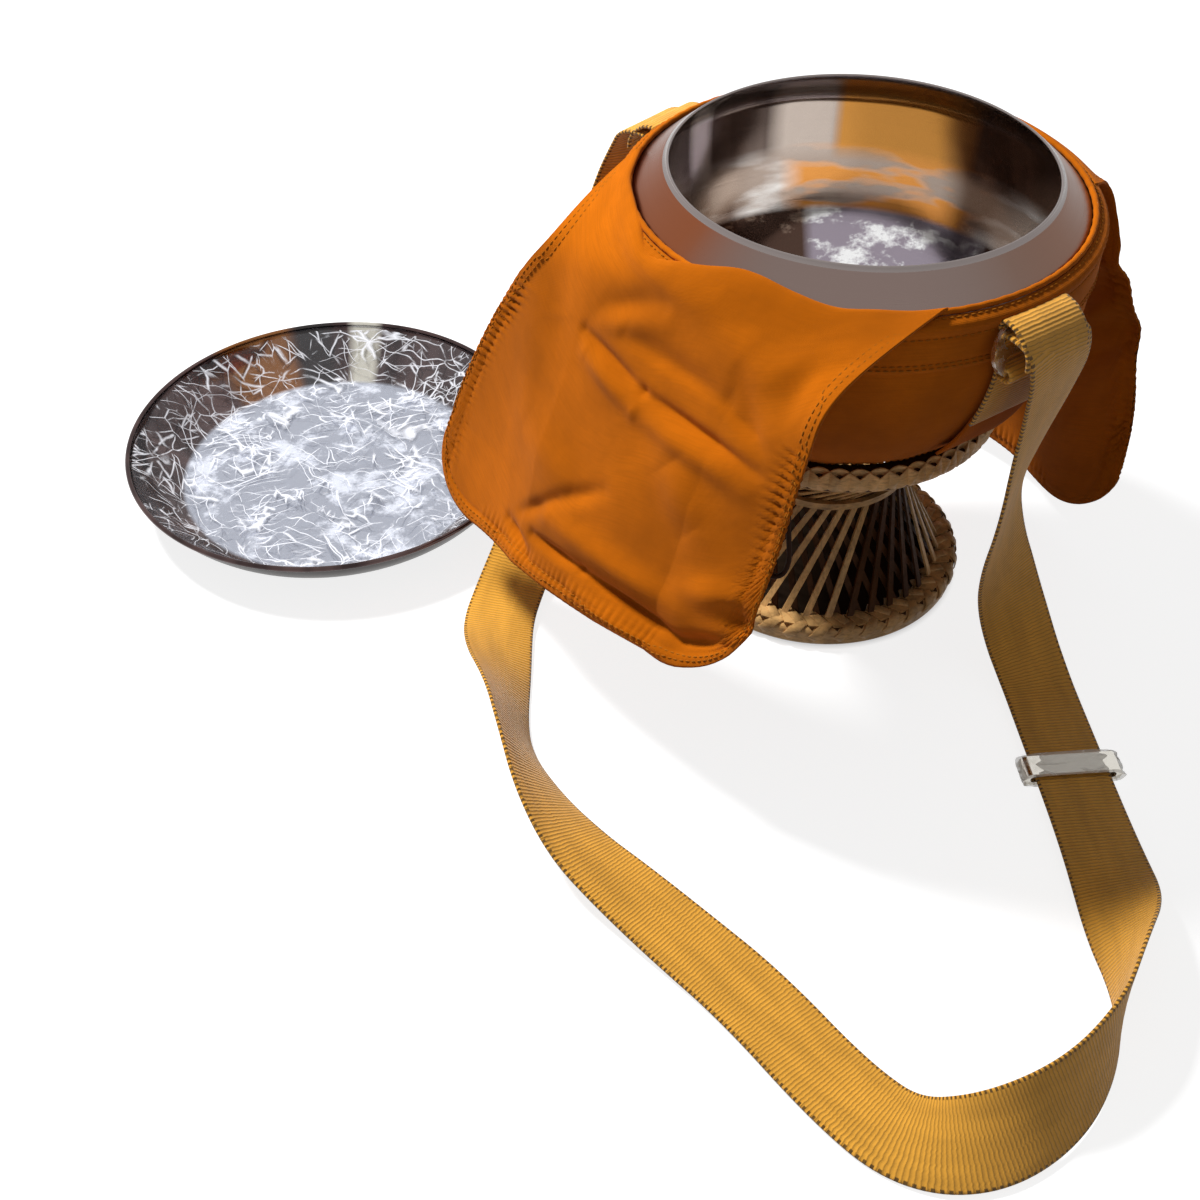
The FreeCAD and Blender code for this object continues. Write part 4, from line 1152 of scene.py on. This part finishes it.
class ALMSBOWL_OT_flaps(bpy.types.Operator):
    """Hang both cotton flaps from the mouth band, with hems, puckers and creases"""
    bl_idname = "almsbowl.flaps"
    bl_label = "Cloth flaps"

    def execute(self, context):
        settings = context.scene.alms_bowl
        cotton = finish_of(context, "cotton")
        thread = finish_of(context, "thread")
        for name, cut in FLAPS.items():
            out, side, down, face = flap_axes(cut)
            shares = flap_shares()
            columns = [flap_column(name, cut, share, settings) for share in shares]
            rows = len(columns[0])
            verts = []
            uvs = []
            for column, share in zip(columns, shares):
                run = 0.0
                for i, place in enumerate(column):
                    if i:
                        run += (place - column[i - 1]).length
                    verts.append(place)
                    uvs.append((place.dot(side), run))
            faces = grid_faces(len(columns), rows, flip=True)
            cloth = make_piece(name + "_cloth", verts, faces, [cotton], uvs)
            wall = cloth.modifiers.new("cloth thickness", "SOLIDIFY")
            wall.thickness = CLOTH
            wall.offset = 0.0
            settle(cloth)
            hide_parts(name, name + "_root")
            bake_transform(cloth)
            lines = []
            for inset in (settings.hem - 1.2 * MM, settings.hem - 4.2 * MM):
                lines.append(self.seam(columns, inset, face))
            stitches = seam_stitches(name + "_stitches", lines, settings, thread)
            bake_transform(stitches)
        return {"FINISHED"}

    @staticmethod
    def seam(columns, inset, face):
        """Line of points on the cloth a little inside its free edges."""
        lift = face * (CLOTH / 2 + 0.15 * MM)

        def near(points, distance):
            run = 0.0
            for i in range(1, len(points)):
                run += (points[i] - points[i - 1]).length
                if run >= distance:
                    return points[i]
            return points[-1]

        line = []
        count = len(columns[0])
        for i in range(STITCH_START, count - HEM_ROWS):
            line.append(near([column[i] for column in columns], inset) + lift)
        for column in columns[6:-6]:
            line.append(near(column[::-1], inset) + lift)
        for i in range(count - HEM_ROWS, STITCH_START, -1):
            line.append(near([column[i] for column in columns[::-1]], inset) + lift)
        return line


class ALMSBOWL_OT_sling(bpy.types.Operator):
    """Sew the sling's body, mouth band and piping round the bowl"""
    bl_idname = "almsbowl.sling"
    bl_label = "Sling"

    def execute(self, context):
        settings = context.scene.alms_bowl
        cotton = finish_of(context, "cotton")
        thread = finish_of(context, "thread")
        inner = bowl_side(SLING_INNER, CASING_TOP)
        fine = self.refine(bowl_side(SLING_OUTER, CASING_TOP))
        lengths = [0.0]
        for (r0, z0), (r1, z1) in zip(fine, fine[1:]):
            lengths.append(lengths[-1] + math.hypot(r1 - r0, z1 - z0))
        channel = lengths[-1] - CHANNEL_DROP
        foot = self.length_at(fine, lengths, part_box("mouth_casing")[0][2])
        bottom_seam = self.length_at(fine, lengths, BOTTOM_SEAM)

        def swell(index, angle):
            if index >= len(lengths):
                return 0.0, 0.0
            run = lengths[index]
            radius, z = fine[index]
            place = Vector((radius * math.cos(angle), radius * math.sin(angle), z))
            lift = 0.9 * MM * smooth(foot - 0.4 * MM, foot + 0.4 * MM, run)
            lift += 2.6 * MM * bell(run - channel, CHANNEL_HALF)
            gather = 0.5 + 0.5 * noise.noise(place * 20.0)
            ripple = math.sin(angle * 150 + 4 * noise.noise(place * 30.0))
            lift += 0.45 * MM * gather * ripple * bell(run - channel, 6 * MM)
            for seam in (channel - 4.6 * MM, foot + 4 * MM, bottom_seam):
                lift -= 0.5 * MM * bell(run - seam, SEAM_HALF)
            loose = smooth(foot, foot - 12 * MM, run)
            loose *= smooth(bottom_seam - 40 * MM, bottom_seam + 10 * MM, run)
            drape = noise.noise(Vector((angle * 9.0, run * 14.0, 0.4)))
            lift += (0.6 + 1.1 * drape) * MM * loose if drape > -0.5 else 0.0
            share = min(1.0, radius / (BOWL_RADIUS * 0.2))
            slope = math.atan2(z - CENTRE_Z, radius) if z < CENTRE_Z else 0.0
            if z > BAND_TOP:
                slope = math.atan2(z - BAND_TOP, max(radius - SHOULDER_TURN, 0.1 * MM))
            return lift * math.cos(slope) * share, lift * math.sin(slope)

        profile = fine + inner[::-1]
        sling = spin_piece("sling_cloth", profile, [cotton], steps=SLING_STEPS, move=swell)
        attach(sling, BODY)
        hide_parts("sling_body", "sling_bottom", "mouth_casing", "drawcord")

        low, high = box_of("mouth_piping")
        bead = (high.z - low.z) / 2
        ring = high.x - bead
        middle = (high.z + low.z) / 2
        circle = arc((ring, middle), bead, 0, 360, 16)
        piping = spin_piece("mouth_piping_cloth", circle, [cotton], steps=300,
                            move=lambda i, a: (0.12 * MM * math.sin(a * 220), 0.1 * MM * math.cos(a * 220)))
        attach(piping, BODY)
        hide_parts("mouth_piping")

        lines = []
        for seam in (channel - 4.6 * MM, channel + 3.4 * MM, foot + 4 * MM, foot + 1.8 * MM,
                     bottom_seam + 2 * MM):
            index = min(range(len(lengths)), key=lambda i: abs(lengths[i] - seam))
            radius, z = fine[index]
            row = []
            for step in range(STITCH_STEPS + 1):
                angle = 2 * math.pi * step / STITCH_STEPS
                out, up = swell(index, angle)
                reach = radius + out + 0.25 * MM
                row.append((reach * math.cos(angle), reach * math.sin(angle),
                            z + up + (0.2 * MM if z > BAND_TOP else 0.0)))
            lines.append(row)
        stitches = seam_stitches("sling_stitches", lines, settings, thread)
        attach(stitches, BODY)

        path = nurbs_points([Vector(p) for p in TAIL_ROUTE])
        tail = tube_piece("drawcord_loop", path, TAIL_DIAMETER / 2, finish_of(context, "cord"))
        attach(tail, BODY)
        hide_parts("drawcord_tail")
        return {"FINISHED"}

    @staticmethod
    def refine(points, gap=1.1 * MM):
        """The same outline with points no further apart than a small gap."""
        fine = [points[0]]
        for (r0, z0), (r1, z1) in zip(points, points[1:]):
            parts = max(1, math.ceil(math.hypot(r1 - r0, z1 - z0) / gap))
            for i in range(1, parts + 1):
                fine.append((r0 + (r1 - r0) * i / parts, z0 + (z1 - z0) * i / parts))
        return fine

    @staticmethod
    def length_at(points, lengths, height):
        for (_, z), run in zip(points, lengths):
            if z >= height:
                return run
        return lengths[-1]


# Webbing

class ALMSBOWL_OT_webbing(bpy.types.Operator):
    """Lay the shoulder strap along its route and sew on its two anchors"""
    bl_idname = "almsbowl.webbing"
    bl_label = "Webbing"

    def execute(self, context):
        webbing = finish_of(context, "webbing")
        route = [Vector(row[:3]) for row in STRAP_ROUTE]
        widths = []
        for row in STRAP_ROUTE:
            rise = math.radians(row[4])
            widths.append(polar(1.0, row[3]) * math.cos(rise) + UP * math.sin(rise))
        path = nurbs_points(route)
        strap = webbing_piece("strap_webbing", path, nurbs_points(widths), webbing)
        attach(strap, BODY)
        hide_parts("shoulder_strap")

        for name, azimuth in ANCHORS.items():
            self.anchor(name, azimuth, webbing, finish_of(context, "cotton"))
        return {"FINISHED"}

    @staticmethod
    def anchor(name, azimuth, webbing, cotton):
        """Webbing up the sling's side, and a loop of it round the buckle's lower bar."""
        out = polar(1.0, azimuth)
        side = UP.cross(out)
        node = "anchor_webbing_" + name
        inside = BOWL_RADIUS + ANCHOR_OFF
        middle = inside + WEBBING_THICKNESS / 2
        low = math.asin((ANCHOR_FOOT - CENTRE_Z) / middle)
        strip = []
        for i in range(33):
            angle = low * (1 - i / 32)
            strip.append(out * (middle * math.cos(angle)) + UP * (CENTRE_Z + middle * math.sin(angle)))
        for i in range(1, 5):
            strip.append(out * middle + UP * (CENTRE_Z + BAND_HEIGHT * i / 4))
        split = next(i for i, place in enumerate(strip) if place.z > ANCHOR_SEAM)
        made = webbing_piece("anchor_strip_" + name, strip[split:], [side] * len(strip[split:]), webbing)
        band = webbing_piece("anchor_band_" + name, [p - out * 0.5 * MM for p in strip[:split + 3]],
                             [side] * (split + 3), cotton)
        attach(band, BODY)
        up = UP * math.cos(BUCKLE_LEAN) - out * math.sin(BUCKLE_LEAN)
        buckle = out * (inside + WEBBING_THICKNESS + BUCKLE_OFF) + UP * BUCKLE_Z
        bar = buckle - up * BUCKLE_BAR
        loop = []
        root = bar - out * LOOP_TAIL
        for i in range(5):
            loop.append(root + UP * BAR_WRAP + out * (LOOP_TAIL * i / 4))
        for i in range(1, 16):
            angle = math.pi / 2 - math.pi * i / 16
            loop.append(bar + out * (BAR_WRAP * math.cos(angle)) + UP * (BAR_WRAP * math.sin(angle)))
        for i in range(5):
            loop.append(bar - UP * BAR_WRAP - out * (LOOP_TAIL * i / 4))
        turn = webbing_piece("anchor_loop_" + name, loop, [side] * len(loop), webbing, 0.9)
        bar = buckle + up * BUCKLE_BAR
        wrap = [bar + out * x + UP * z for x, z in arc((0.0, 0.0), BAR_WRAP, 235, 75, 14)]
        # from the bar it falls to the strap, out and up in mm from the buckle
        fall = [(2.0, 13.4), (5.6, 11.2), (9.0, 8.4), (12.2, 4.0), (13.2, 0.6), (13.4, -3.0)]
        wrap += nurbs_points([wrap[-1]] + [buckle + out * (x * MM) + UP * (z * MM) for x, z in fall], 6)[1:]
        over = webbing_piece("strap_turn_" + name, wrap, [side] * len(wrap), webbing)
        for piece in (made, turn, over):
            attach(piece, BODY)
        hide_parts(node)


class ALMSBOWL_OT_fittings(bpy.types.Operator):
    """Plate the buckles and the strap's slider"""
    bl_idname = "almsbowl.fittings"
    bl_label = "Buckles and slider"

    def execute(self, context):
        for node in ("buckle_right", "buckle_left", "strap_slider"):
            dress_node(node, finish_of(context, "nickel"))
        return {"FINISHED"}


# Stand

class ALMSBOWL_OT_stand(bpy.types.Operator):
    """Weave the stand: pale and dark splints with runs of painted shade, a tabbed foot and a plaited top
    ring
    """
    bl_idname = "almsbowl.stand"
    bl_label = "Woven stand"

    def execute(self, context):
        settings = context.scene.alms_bowl
        cane = finish_of(context, "cane")
        self.splints(finish_of(context, "cane_upright"), finish_of(context, "dark_cane"))
        for part in ("waist_outer_hoop", "base_core", "top_core", "base_border", "base_tabs"):
            dress_node("stand_" + part, cane)
        for part in ("inner_splints", "waist_inner_hoop", "top_border"):
            dress_node("stand_" + part, finish_of(context, "dark_cane"))
        self.plait(settings, finish_of(context, "plait_cane"))
        self.foot_weave(settings, cane)
        return {"FINISHED"}

    @staticmethod
    def splints(pale, smoked_and_shade):
        """Finish the outer splints one by one: most are pale, and two runs of them get the dark cane as
        painted shade.
        """
        dress_node("stand_outer_splints", pale)
        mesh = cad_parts["stand_outer_splints"].data
        mesh.materials.append(smoked_and_shade)
        group = list(range(len(mesh.vertices)))

        def first(index):
            while group[index] != index:
                group[index] = group[group[index]]
                index = group[index]
            return index

        for edge in mesh.edges:
            a, b = first(edge.vertices[0]), first(edge.vertices[1])
            group[b] = a
        feet = {}
        for vertex in mesh.vertices:
            key = first(vertex.index)
            if key not in feet or vertex.co.z < feet[key].z:
                feet[key] = vertex.co.copy()
        for polygon in mesh.polygons:
            foot = feet[first(polygon.vertices[0])]
            azimuth = math.degrees(math.atan2(foot.y, foot.x))
            # splints in these runs get the dark cane as painted shade
            polygon.material_index = int(any(low < azimuth < high for low, high in SHADED_SPLINT_RUNS))

    @staticmethod
    def plait(settings, cane):
        """Three flat strands plaited round the outside of the top ring."""
        count = settings.plait_count
        radius = TOP_HIGH.x - 0.2 * MM
        middle = (TOP_LOW.z + TOP_HIGH.z) / 2 + 1.6 * MM
        height = 3.4 * MM
        strand = 4.3 * MM
        verts = []
        faces = []
        steps = 27
        for strand_index in range(3):
            start = len(verts)
            for i in range(steps + 1):
                share = i / steps
                phase = 2 * math.pi * (share + strand_index / 3)
                angle = 2 * math.pi / count * share
                bend = height * math.sin(phase)
                lift = 1.1 * MM * math.cos(2 * phase) + 0.7 * MM - 1.0 * MM * (bend / height) ** 2
                slope = math.atan2(height * 2 * math.pi * math.cos(phase), 2 * math.pi / count * radius)
                for edge, layer in ((-1, 0.0), (-0.8, 0.4), (0.8, 0.4), (1, 0.0), (0.8, -0.4), (-0.8, -0.4)):
                    along = -edge * strand * math.sin(slope)
                    rise = edge * strand * math.cos(slope)
                    turn = angle + along / radius
                    reach = radius + lift + layer * MM
                    verts.append((reach * math.cos(turn), reach * math.sin(turn), middle + bend + rise))
            strip = grid_faces(steps + 1, 6, ring=True)
            faces += [tuple(start + corner for corner in face) for face in strip]
        unit = make_piece("top_ring_plait", verts, faces, [cane])
        ring = repeat_round(unit, count, cane)
        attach(ring, "stand")

    def foot_weave(self, settings, cane):
        """Flat ends of the splints, laid across each other over the foot ring and tucked down."""
        count = settings.tab_count
        # each as turn and run over the ring's section, from its start to its end, then half width
        tabs = self.strip("foot_ring_tabs", (0.0, -0.6 * MM), (8.6, 10.6 * MM), 2.7 * MM, 1.5 * MM, cane)
        unders = self.strip("foot_ring_unders", (10.6, 8.0 * MM), (2.4, 20.0 * MM), 2.6 * MM, 0.7 * MM, cane)
        # painted shade: dark diamonds laid between the crossing ends, where the holes there show shade
        side = [-1.0, -0.5, 0.0, 0.5, 1.0]
        gap = [self.on_border(2.9 + 1.15 * (u + v), (10.8 + 1.6 * (u - v)) * MM, 0.25 * MM)
               for u in side for v in side]
        dark = finish_of(bpy.context, "dark_cane")
        shade_diamonds = make_piece("foot_ring_painted_shade", gap, grid_faces(5, 5), [dark])
        for unit, finish in ((tabs, cane), (unders, cane), (shade_diamonds, dark)):
            ring = repeat_round(unit, count, finish)
            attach(ring, "stand")

    @staticmethod
    def on_border(turn, run, off):
        """Place on the foot ring's skin, by its turn and its run from the ring's inner edge."""
        outer, top = FOOT_HIGH.x, BORDER_TOP
        flat = BORDER_WIDTH - BORDER_ROUND
        bend = BORDER_ROUND * math.pi / 2
        if run < flat:
            return polar(outer - BORDER_WIDTH + run, turn, top + off)
        if run < flat + bend:
            angle = math.pi / 2 - (run - flat) / BORDER_ROUND
            reach = BORDER_ROUND + off
            return polar(outer - BORDER_ROUND + reach * math.cos(angle), turn,
                         top - BORDER_ROUND + reach * math.sin(angle))
        return polar(outer + off, turn, top - BORDER_ROUND - (run - flat - bend))

    def strip(self, name, start, end, half, arch, cane):
        """One flat cane end across the foot ring, arched in its middle and tucked at its tip."""
        rows = 17
        round_run = math.radians(end[0] - start[0]) * FOOT_HIGH.x
        length = math.hypot(round_run, end[1] - start[1])
        across = (-(end[1] - start[1]) / length, round_run / length)
        verts = []
        for i in range(rows):
            share = i / (rows - 1)
            off = 0.35 * MM + arch * math.sin(math.pi * share) - 0.8 * MM * smooth(0.85, 1.0, share)
            for edge, layer in ((-1, -0.1), (-0.88, 0.3), (0.88, 0.3), (1, -0.1), (0.88, -0.4),
                                (-0.88, -0.4)):
                turn = start[0] + (end[0] - start[0]) * share
                turn += math.degrees(edge * half * across[0] / FOOT_HIGH.x)
                run = start[1] + (end[1] - start[1]) * share + edge * half * across[1]
                verts.append(self.on_border(turn, run, off + layer * MM))
        return make_piece(name, verts, tube_faces(rows, 6), [cane])


# Stage

def white_for_camera(tree):
    """1 for rays that see the stage straight, in metal or through film."""
    path = add_node(tree, "ShaderNodeLightPath").outputs
    seen = maths(tree, "MAXIMUM", path["Is Camera Ray"], path["Is Glossy Ray"])
    return maths(tree, "MAXIMUM", seen, path["Is Transmission Ray"])


class ALMSBOWL_OT_stage(bpy.types.Operator):
    """Set the floor, the sky, the lamps and the photograph's camera"""
    bl_idname = "almsbowl.stage"
    bl_label = "Stage"

    def execute(self, context):
        scene = context.scene
        scene.view_settings.view_transform = "Standard"
        self.floor()
        world = bpy.data.worlds.new("studio")
        scene.world = world
        world.use_nodes = True
        tree = world.node_tree
        sky = tree.nodes["Background"]
        sky.inputs["Color"].default_value = WHITE
        strength = spread(tree, white_for_camera(tree), 0.0, 1.0, SKY_ON_OBJECT, 1.0)
        tree.links.new(strength, sky.inputs["Strength"])
        self.lamp()
        lens = bpy.data.cameras.new("photograph")
        lens.sensor_width = SENSOR
        lens.lens = FOCAL_PIXELS / FRAME_PIXELS * SENSOR
        camera = bpy.data.objects.new("photograph", lens)
        camera.location = CAMERA_PLACE
        camera.rotation_euler = (math.pi / 2 - CAMERA_PITCH, 0.0, 0.0)
        scene.collection.objects.link(camera)
        scene.camera = camera
        return {"FINISHED"}

    @staticmethod
    def floor():
        mesh = bpy.data.meshes.new("floor")
        corners = [(x * FLOOR_REACH, y * FLOOR_REACH, 0.0) for x, y in ((-1, -1), (1, -1), (1, 1), (-1, 1))]
        mesh.from_pydata(corners, [], [(0, 1, 2, 3)])
        floor = bpy.data.objects.new("floor", mesh)
        floor.location.z = -FLOOR_DROP
        bpy.context.scene.collection.objects.link(floor)
        paper, tree, shader = new_material("white_paper", Roughness=0.9, Specular_IOR_Level=0.0)
        glow = add_node(tree, "ShaderNodeEmission", {"Color": WHITE})
        # painted shadow: inside the stand's foot the floor is painted dark and gets no added white, for the
        # deep shade the weave keeps there
        where = add_node(tree, "ShaderNodeTexCoord").outputs["Object"]
        from_axis = add_node(tree, "ShaderNodeVectorMath", {0: where}, operation="LENGTH").outputs["Value"]
        lit = spread(tree, from_axis, *SHADE_EDGE)
        paint = blend_colour(tree, lit, FOOT_SHADE, FLOOR_PAINT)
        tree.links.new(paint, shader.inputs["Base Color"])
        white = maths(tree, "MULTIPLY", white_for_camera(tree), lit)
        tree.links.new(spread(tree, white, 0.0, 1.0, 0.0, FLOOR_GLOW), glow.inputs["Strength"])
        both = add_node(tree, "ShaderNodeAddShader", {0: shader.outputs[0], 1: glow.outputs[0]})
        tree.links.new(both.outputs[0], tree.nodes["Material Output"].inputs["Surface"])
        mesh.materials.append(paper)

    @staticmethod
    def lamp():
        light = bpy.data.lights.new("key", "AREA")
        light.energy = LAMP_POWER
        light.size = LAMP_SIZE
        holder = bpy.data.objects.new("key", light)
        holder.location = LAMP_PLACE
        holder.visible_glossy = False
        aim = Vector(LAMP_TARGET) - Vector(LAMP_PLACE)
        holder.rotation_euler = aim.to_track_quat("-Z", "Y").to_euler()
        bpy.context.scene.collection.objects.link(holder)


class ALMSBOWL_PT_panel(bpy.types.Panel):
    """Lists the bowl's pieces and settings"""
    bl_idname = "ALMSBOWL_PT_panel"
    bl_label = "Alms Bowl"
    bl_space_type = "VIEW_3D"
    bl_region_type = "UI"
    bl_category = "Alms Bowl"

    def draw(self, context):
        column = self.layout.column()
        settings = context.scene.alms_bowl
        for name in settings.bl_rna.properties.keys():
            if name not in ("rna_type", "name"):
                column.prop(settings, name)
        for operator in OPERATORS:
            column.operator(operator.bl_idname)


OPERATORS = (ALMSBOWL_OT_stage, ALMSBOWL_OT_steel, ALMSBOWL_OT_film, ALMSBOWL_OT_webbing, ALMSBOWL_OT_sling,
             ALMSBOWL_OT_flaps, ALMSBOWL_OT_fittings, ALMSBOWL_OT_stand)
CLASSES = (AlmsBowlSettings, ALMSBOWL_PT_panel) + OPERATORS


def register():
    for item in CLASSES:
        bpy.utils.register_class(item)
    bpy.types.Scene.alms_bowl = bpy.props.PointerProperty(type=AlmsBowlSettings)


def unregister():
    del bpy.types.Scene.alms_bowl
    for item in reversed(CLASSES):
        bpy.utils.unregister_class(item)


def main():
    register()
    for operator in OPERATORS:
        group, name = operator.bl_idname.split(".")
        getattr(getattr(bpy.ops, group), name)()


if __name__ == "__main__":
    main()
